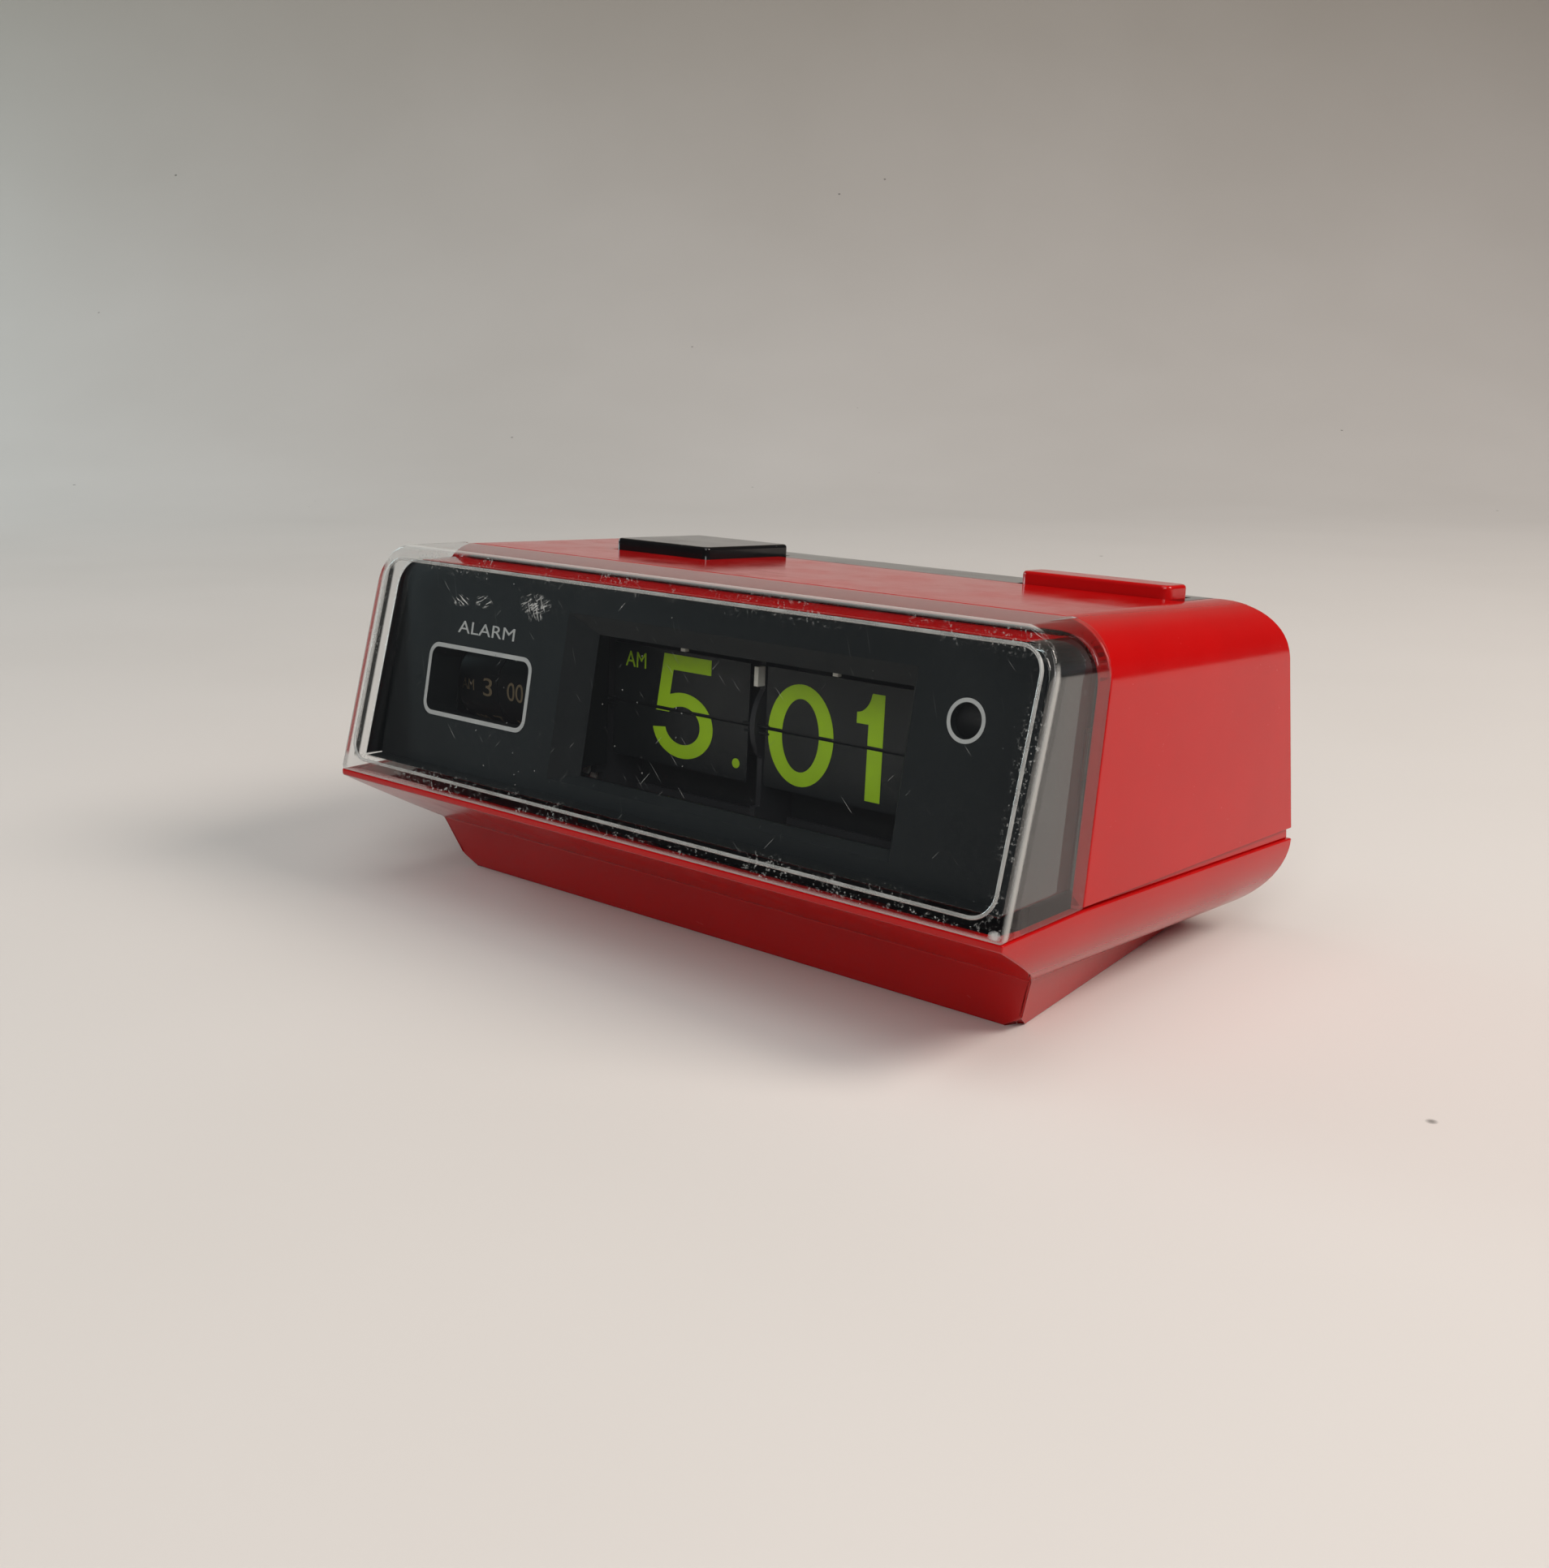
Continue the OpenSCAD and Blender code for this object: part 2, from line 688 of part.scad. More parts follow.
module rear_panel() {
  color([0.05, 0.05, 0.05]) placed() on_rear() difference() {
    union() {
      block(-panel_half, panel_half, -panel_t, 0, panel_w0, panel_w1);
      block(pocket_x0 - pocket_wall, pocket_x1 + pocket_wall, -pocket_deep - pocket_wall, -panel_t,
        cell_w - cell_r - pocket_wall, cell_w + cell_r + cell_gap + pocket_wall);
    }
    block(pocket_x0, pocket_x1, -pocket_deep, -panel_t + 0.1, cell_w - cell_r, cell_w + cell_r + cell_gap);
    block(-door_w / 2, door_w / 2, -panel_t - 0.1, 1, door_w0, door_w1);
    rod(-door_w / 2 - door_pin, door_w / 2 + door_pin, -panel_t / 2, door_axis, door_pin_r + fit);
    wheel_slot(knob_x, knob_w, knob_y, drum_u, knob_r);
    wheel_slot(set_x, knob_w, set_y, set_u, set_r);
  }
}

module battery_door() {
  half = door_w / 2 - play;
  color([0.06, 0.06, 0.06]) placed() on_rear() {
    block(-half, half, -panel_t, 0, door_axis, door_w1 - play);
    rod(-half, half, -panel_t / 2, door_axis, panel_t / 2);
    rod(-half - door_pin, half + door_pin, -panel_t / 2, door_axis, door_pin_r);
  }
}

module battery() {
  color([0.75, 0.6, 0.25]) placed() on_rear() {
    rod(-cell_l / 2, cell_l / 2 - 1, -cell_d, cell_w, cell_r);
    rod(0, cell_l / 2, -cell_d, cell_w, cell_nub);
  }
}

module contact_plus() {
  color([0.8, 0.8, 0.78]) placed() on_rear()
    block(cell_l / 2, pocket_x1, -cell_d - 5, -cell_d + 5, cell_w - 5, cell_w + 5);
}

module contact_minus() {
  color([0.8, 0.8, 0.78]) placed() on_rear() {
    block(pocket_x0, pocket_x0 + contact_t, -cell_d - 5, -cell_d + 5, cell_w - 5, cell_w + 5);
    rod(pocket_x0, -cell_l / 2, -cell_d, cell_w, cell_nub);
  }
}

module case_screws() {
  color([0.6, 0.6, 0.6]) placed() for (p = post_at) {
    translate([p[0], p[1], head_u - 1.8]) cylinder(h = 1.8, r = head_r);
    translate([p[0], p[1], head_u - 1]) cylinder(h = screw_top - head_u + 1, r = screw_r);
  }
}

module movement_screws() {
  color([0.6, 0.6, 0.6]) placed() {
    for (p = base_screw_at) translate([p[0], p[1], base_u]) {
      translate([0, 0, base_t]) cylinder(h = 1.4, r = 2);
      translate([0, 0, -base_screw_l]) cylinder(h = base_screw_l + base_t + 0.5, r = base_screw_r);
    }
    for (p = bracket_screw_at) translate([p[0], p[1], plate_u0]) {
      translate([0, 0, base_t]) cylinder(h = 1.4, r = 2);
      translate([0, 0, -base_screw_l]) cylinder(h = base_screw_l + base_t + 0.5, r = base_screw_r);
    }
  }
}

module movement_base() {
  color([0.12, 0.12, 0.13]) placed() difference() {
    union() {
      block(upright_x - 1, outer_x + plate_t, notch_y, base_y1, base_u, plate_u0);
      block(upright_x, upright_x + upright_t, card_axis_y - 5, card_axis_y + 5, base_u, split_u + 4);
      for (x = [hour_x0, minute_x0])
        block(x, x + card_w, card_axis_y - 1, card_axis_y + 1, base_u, split_u - fan_r);
      for (x = [board_x0 + 2, board_x1 - 2], y = [board_y0 + 2, board_y1 - 2])
        translate([x, y, base_u]) cylinder(h = board_u - base_u, r = 1.5);
    }
    rod(upright_x - 1, upright_x + upright_t + 1, card_axis_y, split_u, axle_r);
    for (p = post_at) translate([p[0], p[1], base_u - 1]) cylinder(h = base_t + 2, r = boss_r + play);
    for (p = base_screw_at) translate([p[0], p[1], base_u - 1]) cylinder(h = base_t + 2, r = base_screw_r);
  }
}

module pillar_holes(x, t) {
  for (p = pillar_at) rod(x - 1, x + t + 1, p[0], p[1], pillar_r);
}

module leaf_holes(x, t) {
  rod(x - 1, x + t + 1, leaf_axis_y, split_u, pin_r + fit);
  rod(x - 1, x + t + 1, lower_pin_y, lower_pin_u, pin_r);
}

// Upright plate, stepped back at the bottom to clear the rim of the clear cover
module plate_blank(x, t, y0, y1, u1) {
  xbar(x, x + t) polygon([
    [y0, notch_u], [y0, u1], [y1, u1], [y1, plate_u0], [notch_y, plate_u0], [notch_y, notch_u]
  ]);
}

module plate_left() {
  color([0.12, 0.12, 0.13]) placed() difference() {
    plate_blank(left_x, plate_t, plate_y0, plate_y1, plate_u1);
    rod(left_x - 1, left_x + plate_t + 1, card_axis_y, split_u, sleeve_r + play);
    rod(left_x - 1, left_x + plate_t + 1, lay_y, split_u, lay_r + fit);
    leaf_holes(left_x, plate_t);
    pillar_holes(left_x, plate_t);
  }
}

module plate_centre() {
  color([0.12, 0.12, 0.13]) placed() difference() {
    union() {
      plate_blank(centre_x, centre_t, card_y + hub_back, plate_y1, plate_u1);
      rod(centre_x, centre_x + centre_t, card_axis_y, split_u, hub_r);
    }
    rod(centre_x - 1, centre_x + centre_t + 1, card_axis_y, split_u, axle_r);
    rod(centre_x - 1, centre_x + centre_t + 1, lay_y, split_u, lay_r + play);
    leaf_holes(centre_x, centre_t);
    pillar_holes(centre_x, centre_t);
    bar_block();
  }
}

module train_holes(x) {
  rod(x - 1, x + plate_t + 1, third_y, third_u, arbor_r + fit);
  rod(x - 1, x + plate_t + 1, seconds_y, seconds_u, arbor_r + fit);
  rod(x - 1, x + plate_t + 1, set_y, set_u, lay_r + fit);
  pillar_holes(x, plate_t);
}

module plate_right() {
  color([0.12, 0.12, 0.13]) placed() difference() {
    plate_blank(right_x, plate_t, right_y0, right_y1, right_u1);
    rod(right_x - 1, right_in + 1, card_axis_y, split_u, sleeve_r + play);
    rod(right_x - 1, right_in + 1, lay_y, split_u, lay_r + fit);
    leaf_holes(right_x, plate_t);
    train_holes(right_x);
  }
}

module plate_outer() {
  color([0.12, 0.12, 0.13]) placed() difference() {
    union() {
      plate_blank(outer_x, plate_t, right_y0, right_y1, right_u1);
      for (p = stator_posts) rod(outer_x, stator_x, p[0], p[1], 1.5);
    }
    rod(outer_x - 1, outer_x + plate_t + 1, card_axis_y, split_u, axle_r);
    rod(outer_x - 1, outer_x + plate_t + 1, rotor_y, rotor_u, arbor_r + fit);
    train_holes(outer_x);
  }
}

module frame_pillars() {
  color([0.7, 0.7, 0.68]) placed()
    for (p = pillar_at) rod(left_x, outer_x + plate_t, p[0], p[1], pillar_r);
}

module bar_block() {
  block(left_x + plate_t, right_x, card_y - catch_t, card_y + 2.2, bar_u0, bar_u0 + 2);
}

module catch_bar() {
  color([0.1, 0.1, 0.1]) placed() bar_block();
}

module card_catches() {
  color([0.85, 0.85, 0.82]) placed() {
    for (x = catch_x)
      block(x - 0.6, x + 0.6, card_y - catch_t, card_y + 0.2, split_u + half_card + play, bar_u0);
    block(centre_x + 0.1, centre_x + centre_t - 0.1, card_y - catch_t, card_y + hub_back,
      catch_u0, catch_u0 + 3.7);
  }
}

module card_axle() {
  color([0.75, 0.75, 0.75]) placed() rod(upright_x, outer_x + plate_t, card_axis_y, split_u, axle_r);
}

module hour_spool() {
  color([0.85, 0.85, 0.8]) placed() difference() {
    union() {
      rod(hour_x0, hour_x1, card_axis_y, split_u, spool_r);
      rod(hour_layer, hour_x0 + 1, card_axis_y, split_u, sleeve_r);
    }
    rod(hour_layer - 1, hour_x1 + 1, card_axis_y, split_u, axle_r + fit);
  }
}

module minute_spool() {
  color([0.85, 0.85, 0.8]) placed() difference() {
    union() {
      rod(minute_x0, minute_x1, card_axis_y, split_u, spool_r);
      rod(minute_x1 - 1, layer2 + gear_t, card_axis_y, split_u, sleeve_r);
    }
    rod(minute_x0 - 1, layer2 + gear_t + 1, card_axis_y, split_u, axle_r + fit);
  }
}

module card_fan(x0, n) {
  xbar(x0 + 0.4, x0 + card_w - 0.4) translate([card_axis_y, split_u]) {
    difference() {
      circle(pack_out);
      circle(pack_in);
    }
    for (i = [0 : n - 1]) rotate(90 - i * 180 / (n - 1))
      translate([pack_out - 0.3, -card_t / 2]) square([fan_r - pack_out + 0.3, card_t]);
  }
}

module hour_pack() {
  color([0.05, 0.05, 0.05]) placed() card_fan(hour_x0, hour_cards);
}

module minute_pack() {
  color([0.05, 0.05, 0.05]) placed() card_fan(minute_x0, minute_cards);
}

module leaf_pins(x0, x1, left, right, y, u) {
  rod(left, x0 + 1, y, u, pin_r);
  rod(x1 - 1, right, y, u, pin_r);
}

module upper_leaf(x0, x1, left, right) {
  block(x0, x1, card_y, card_y + card_t, split_u + 0.05, split_u + half_card);
  leaf_pins(x0, x1, left, right, leaf_axis_y, split_u);
}

module lower_leaf(x0, x1, left, right) {
  block(x0, x1, card_y, card_y + card_t, split_u - half_card, split_u + 0.05 - split_gap);
  leaf_pins(x0, x1, left, right, lower_pin_y, lower_pin_u);
}

module hour_leaf() {
  color([0.04, 0.04, 0.04]) placed() upper_leaf(hour_x0, hour_x1, left_x + 0.5, centre_x + 0.5);
}

module minute_leaf() {
  color([0.04, 0.04, 0.04]) placed()
    upper_leaf(minute_x0, minute_x1, centre_x + centre_t - 0.5, right_in - 0.5);
}

module hour_lower_leaf() {
  color([0.04, 0.04, 0.04]) placed() lower_leaf(hour_x0, hour_x1, left_x + 0.5, centre_x + 0.5);
}

module minute_lower_leaf() {
  color([0.04, 0.04, 0.04]) placed()
    lower_leaf(minute_x0, minute_x1, centre_x + centre_t - 0.5, right_in - 0.5);
}

module minute_wheel() {
  color([0.85, 0.85, 0.8]) placed() difference() {
    union() {
      gear(layer1, gear_t, card_axis_y, split_u, minute_pinion_n, lay_m, 0);
      gear(layer2, gear_t, card_axis_y, split_u, minute_wheel_n, train_m,
        mesh(to_minute_dir, third_pinion_n, to_minute_dir, minute_wheel_n));
      rod(layer1, layer2 + gear_t, card_axis_y, split_u, sleeve_r + 0.8);
    }
    rod(layer1 - 1, layer2 + gear_t + 1, card_axis_y, split_u, sleeve_r);
  }
}

module hour_wheel() {
  color([0.85, 0.85, 0.8]) placed() difference() {
    gear(hour_layer, gear_t, card_axis_y, split_u, hour_wheel_n, hour_m,
      mesh(180, lay_pinion_n, 180, hour_wheel_n));
    rod(hour_layer - 1, hour_layer + gear_t + 1, card_axis_y, split_u, sleeve_r);
  }
}

module lay_arbor() {
  color([0.8, 0.65, 0.3]) placed() {
    rod(hour_layer - 0.4, layer1 + gear_t + 0.4, lay_y, split_u, lay_r);
    gear(layer1, gear_t, lay_y, split_u, lay_wheel_n, lay_m, lay_phase);
    gear(hour_layer, gear_t, lay_y, split_u, lay_pinion_n, hour_m, 180);
  }
}

module third_arbor() {
  color([0.8, 0.65, 0.3]) placed() {
    rod(right_x, outer_x + plate_t, third_y, third_u, arbor_r);
    gear(layer3, gear_t, third_y, third_u, third_wheel_n, third_m,
      mesh(third_dir, seconds_pinion_n, third_dir, third_wheel_n));
    gear(layer2, gear_t, third_y, third_u, third_pinion_n, train_m, to_minute_dir);
  }
}

module seconds_arbor() {
  color([0.05, 0.05, 0.05]) placed() {
    rod(right_x, outer_x + plate_t, seconds_y, seconds_u, arbor_r);
    gear(layer3, gear_t, seconds_y, seconds_u, seconds_pinion_n, third_m, third_dir);
    rod(layer4, layer4 + seconds_w, seconds_y, seconds_u, seconds_r);
    gear(layer5, gear_t, seconds_y, seconds_u, seconds_wheel_n, third_m,
      mesh(rotor_dir + 180, rotor_pinion_n, rotor_dir + 180, seconds_wheel_n));
  }
}

module rotor() {
  color([0.5, 0.5, 0.52]) placed() {
    rod(layer5 - 0.4, stator_x + stator_t + 1, rotor_y, rotor_u, arbor_r);
    gear(layer5, gear_t, rotor_y, rotor_u, rotor_pinion_n, third_m, rotor_dir + 180);
    rod(stator_x - magnet_over, stator_x + stator_t + magnet_over, rotor_y, rotor_u, magnet_r);
  }
}

module stator() {
  color([0.55, 0.55, 0.57]) placed() difference() {
    union() {
      block(stator_x, stator_x + stator_t, rotor_y - 5, rotor_y + 8, rotor_u - 5, rotor_u + 5);
      block(stator_x, stator_x + stator_t, rotor_y + 7, rotor_y + 26, rotor_u - 2, rotor_u + 2);
    }
    rod(stator_x - 1, stator_x + stator_t + 1, rotor_y, rotor_u, magnet_r + 0.5);
  }
}

module coil() {
  color([0.72, 0.4, 0.2]) placed() difference() {
    block(stator_x - coil_wall, stator_x + stator_t + coil_wall,
      rotor_y + 9, rotor_y + 21, rotor_u - 4, rotor_u + 4);
    block(stator_x, stator_x + stator_t, rotor_y + 8, rotor_y + 22, rotor_u - 2, rotor_u + 2);
  }
}

module time_wheel() {
  color([0.1, 0.1, 0.1]) placed() {
    rod(right_x, outer_x + plate_t, set_y, set_u, lay_r);
    gear(layer1, gear_t, set_y, set_u, set_n, lay_m, mesh(set_dir, lay_wheel_n, lay_phase, set_n));
    knurl(set_x, set_y, set_u, set_r);
  }
}

module knurl(x, y, u, r) {
  m = 2 * r / (knurl_n + 1.6);
  gear(x - knob_w / 2, knob_w, y, u, knurl_n, m, 0);
}

module alarm_bracket() {
  color([0.12, 0.12, 0.13]) placed() difference() {
    union() {
      for (x = [bracket_x0, bracket_x1])
        block(x, x + plate_t, bracket_y0, bracket_y1, plate_u0, bracket_u1);
      block(bracket_x0, bracket_x1 + plate_t, bracket_y0, bracket_y1, plate_u0, plate_u0 + base_t);
    }
    for (y = [drum_y, knob_y]) rod(bracket_x0 - 1, bracket_x1 + plate_t + 1, y, drum_u, axle_r + fit);
    rod(bracket_x1 - 1, bracket_x1 + plate_t + 1, idler_y, drum_u, axle_r + fit);
    for (p = bracket_screw_at)
      translate([p[0], p[1], plate_u0 - 1]) cylinder(h = base_t + 2, r = base_screw_r);
  }
}

module alarm_shaft() {
  color([0.75, 0.75, 0.75]) placed() {
    rod(bracket_x0, alarm_layer + gear_t, drum_y, drum_u, axle_r);
    gear(alarm_layer, gear_t, drum_y, drum_u, alarm_gear_n, alarm_m, 0);
  }
}

module alarm_hour_drum() {
  color([0.06, 0.06, 0.06]) placed() difference() {
    rod(drum_x0, drum_x0 + drum_hour_w, drum_y, drum_u, drum_r);
    rod(drum_x0 - 1, drum_x0 + drum_hour_w + 1, drum_y, drum_u, axle_r + fit);
  }
}

module alarm_minute_drum() {
  color([0.06, 0.06, 0.06]) placed() difference() {
    rod(minute_drum_x0, minute_drum_x1, drum_y, drum_u, drum_r);
    rod(minute_drum_x0 - 1, minute_drum_x1 + 1, drum_y, drum_u, axle_r);
  }
}

module alarm_idler() {
  color([0.85, 0.85, 0.8]) placed() {
    rod(bracket_x1, alarm_layer + gear_t, idler_y, drum_u, axle_r);
    gear(alarm_layer, gear_t, idler_y, drum_u, idler_n, alarm_m, idler_phase);
  }
}

module alarm_wheel() {
  color([0.1, 0.1, 0.1]) placed() {
    rod(bracket_x0, alarm_layer + gear_t, knob_y, drum_u, axle_r);
    gear(alarm_layer, gear_t, knob_y, drum_u, knob_n, alarm_m, mesh(0, idler_n, idler_phase, knob_n));
    knurl(knob_x, knob_y, drum_u, knob_r);
  }
}

module circuit_board() {
  color([0.2, 0.35, 0.2]) placed() block(board_x0, board_x1, board_y0, board_y1, board_u, board_u + base_t);
}

module driver_chip() {
  color([0.05, 0.05, 0.05]) placed()
    block(chip_x, chip_x + 8, chip_y, chip_y + 6, board_u + base_t, board_u + base_t + 2.5);
}

module crystal() {
  color([0.75, 0.75, 0.75]) placed() translate([crystal_x, crystal_y, board_u + base_t + 1.5])
    rotate([-90, 0, 0]) cylinder(h = 8, r = 1.5);
}

module buzzer() {
  color([0.1, 0.1, 0.1]) placed() translate([buzzer_x, buzzer_y, plate_u0]) cylinder(h = 7, r = buzzer_r);
}

module lamp_socket() {
  color([0.15, 0.15, 0.15]) placed()
    block(lamp_x, lamp_x + 6, lamp_y - 2.3, card_y - catch_t, bar_u0 + 0.2, bar_u0 + 4);
}

module lamp() {
  color([0.9, 0.85, 0.7]) placed() {
    rod(lamp_x - 6, lamp_x, lamp_y, bar_u0 + 2.1, 1.8);
    translate([lamp_x - 6, lamp_y, bar_u0 + 2.1]) sphere(r = 1.8);
  }
}

// Piece to draw, or all of them

lower_case();
upper_case();
front_cover();
dial_panel();
top_strip();
light_button();
alarm_bar();
rear_panel();
battery_door();
battery();
contact_plus();
contact_minus();
case_screws();
movement_screws();
movement_base();
plate_left();
plate_centre();
plate_right();
plate_outer();
frame_pillars();
catch_bar();
card_catches();
card_axle();
hour_spool();
minute_spool();
hour_pack();
minute_pack();
hour_leaf();
minute_leaf();
hour_lower_leaf();
minute_lower_leaf();
minute_wheel();
hour_wheel();
lay_arbor();
third_arbor();
seconds_arbor();
rotor();
stator();
coil();
time_wheel();
alarm_bracket();
alarm_shaft();
alarm_hour_drum();
alarm_minute_drum();
alarm_idler();
alarm_wheel();
circuit_board();
driver_chip();
crystal();
buzzer();
lamp_socket();
lamp();
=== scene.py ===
"""Dresses the solids of a red flip-card alarm clock: finishes, prints, figures and a plain studio."""

import json
from math import cos, pi, radians, sin, tan

import bmesh
import bpy
from mathutils import Matrix, Vector


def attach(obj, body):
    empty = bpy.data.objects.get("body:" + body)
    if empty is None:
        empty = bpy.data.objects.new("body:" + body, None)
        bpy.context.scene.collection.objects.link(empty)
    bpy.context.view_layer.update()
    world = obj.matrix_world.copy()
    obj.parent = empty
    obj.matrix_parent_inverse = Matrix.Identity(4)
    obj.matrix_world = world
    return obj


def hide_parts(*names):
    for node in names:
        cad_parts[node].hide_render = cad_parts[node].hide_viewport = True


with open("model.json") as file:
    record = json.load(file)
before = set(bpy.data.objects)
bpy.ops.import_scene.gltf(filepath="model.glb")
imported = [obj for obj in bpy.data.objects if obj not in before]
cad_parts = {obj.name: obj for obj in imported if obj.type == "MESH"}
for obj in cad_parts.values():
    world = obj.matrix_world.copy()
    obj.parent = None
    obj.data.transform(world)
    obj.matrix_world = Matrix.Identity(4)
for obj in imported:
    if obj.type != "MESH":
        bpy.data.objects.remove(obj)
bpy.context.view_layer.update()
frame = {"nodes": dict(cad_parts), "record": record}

bl_info = {
    "name": "Flip-card alarm clock",
    "version": (1, 0, 0),
    "blender": (4, 5, 0),
    "location": "View3D > Sidebar > Clock",
    "description": "Builds the visible pieces of a red flip-card alarm clock over its solids",
    "category": "Add Mesh",
}

MM = 0.001
SLIVER = 0.035

# Sizes shared with the solids, in millimetres and degrees
TILT = 3.86
FLOOR_DROP = 24.84
BODY_MID = 51.4779
DIAL_LEAN = 9.0
DIAL_BACK = 7.0
COVER_LEAN = 13.4
CARD_FACE = 24.4
CARD_THICK = 0.3
CARD_SPLIT = 21.3
LEAF_AXIS = 24.25
LEAF_GAP = 0.6
DRUM_AXIS = (33.4, 18.0)
DRUM_RADIUS = 9.0
COVER_HALF = 85.0
COVER_HIGH = 49.6
REAR_SEAM = (103.2, 1.1)
REAR_LEAN = 14.4

# Boxes on the cover, the dial and the cards: left, right, bottom and top in millimetres
RIDGE = (-82.2, 82.2, 2.95, 46.5)
RIDGE_CORNER = 4.5
ALARM_WINDOW = (-68.8, -37.4, 15.4, 29.8)
ALARM_WORD = (-61.0, -43.4, 33.0, 35.5)
MORNING_MARK = (-23.6, -17.9, 28.2, 31.3)
HOLE_MIDDLE = (67.26, 32.95)
HOLE_RING = 3.4
HOUR_DOT = (6.9, 13.1)
HOUR_DOT_RADIUS = 0.95

# Corner radii and edge rounding, in millimetres
FOOT_CORNER, PLATE_CORNER, BAR_CORNER = 3.0, 1.2, 1.8
PANEL_ROUND, DOOR_ROUND = 0.3, 0.12

# Linings behind the cover, in millimetres of the body frame
LINING_HALF, LINING_TOP, LINING_BEND = 81.85, 45.1, 5.85
LINING_LOW = 3.4
LINING_FRONT, LINING_REAR, LINING_REAR_LEAN = 3.3, 23.0, 0.07
LEDGE_HALF, LEDGE_UP, LEDGE_RISE = 81.0, 3.0, 0.047
LEDGE_DEPTHS = (3.9, 7.6)
TONGUE_HALF, TONGUE_UP = 76.0, 45.2
TONGUE_DEPTHS = (14.6, 27.2)
WINDOW_INSET, WINDOW_CORNER = 0.3, 2.2
WINDOW_DEPTHS = (1.0, 8.2)
CARD_WALL_X, CARD_WALL_REAR = -27.6, 23.6
CARD_WALL_FRONT, CARD_WALL_LEAN = 9.6, 0.16
CARD_WALL_HEIGHTS = (7.5, 40.0)

# Ridges of the battery door, in millimetres of the rear frame
DOOR_RIDGE = (14.0, 0.8, 0.6)
DOOR_RIDGE_FIRST, DOOR_RIDGE_STEP, DOOR_RIDGES = 19.2, 1.2, 4
DOOR_RIDGE_ROUND = 0.2


def placed(x, y, z):
    """Matrix that moves by millimetres."""
    return Matrix.Translation(Vector((x, y, z)) * MM)


def leaned(degrees):
    """Matrix that tips the top backwards about the X axis."""
    return Matrix.Rotation(-radians(degrees), 4, "X")


# Local frames: x to the right, y into the clock, z up the surface
BODY = placed(0, -BODY_MID, FLOOR_DROP) @ leaned(TILT)
DIAL = BODY @ leaned(DIAL_LEAN) @ placed(0, DIAL_BACK, 0)
COVER = BODY @ leaned(COVER_LEAN)
DRUMS = BODY @ placed(0, *DRUM_AXIS)
REAR = BODY @ placed(0, *REAR_SEAM) @ leaned(-REAR_LEAN)


class Value:
    """A number in a material, so that shader maths reads as plain sums."""

    def __init__(self, finish, socket):
        self.finish = finish
        self.socket = socket

    def math(self, operation, first, second=0.0):
        settings = {"operation": operation}
        return self.finish.node("ShaderNodeMath", settings, {0: first, 1: second})

    def __add__(self, other):
        return self.math("ADD", self, other)

    def __sub__(self, other):
        return self.math("SUBTRACT", self, other)

    def __rsub__(self, other):
        return self.math("SUBTRACT", other, self)

    def __mul__(self, other):
        return self.math("MULTIPLY", self, other)

    def __gt__(self, other):
        return self.math("GREATER_THAN", self, other)

    def __pow__(self, other):
        return self.math("POWER", self, other)

    def __abs__(self):
        return self.math("ABSOLUTE", self)

    def least(self, other):
        return self.math("MINIMUM", self, other)

    def most(self, other):
        return self.math("MAXIMUM", self, other)


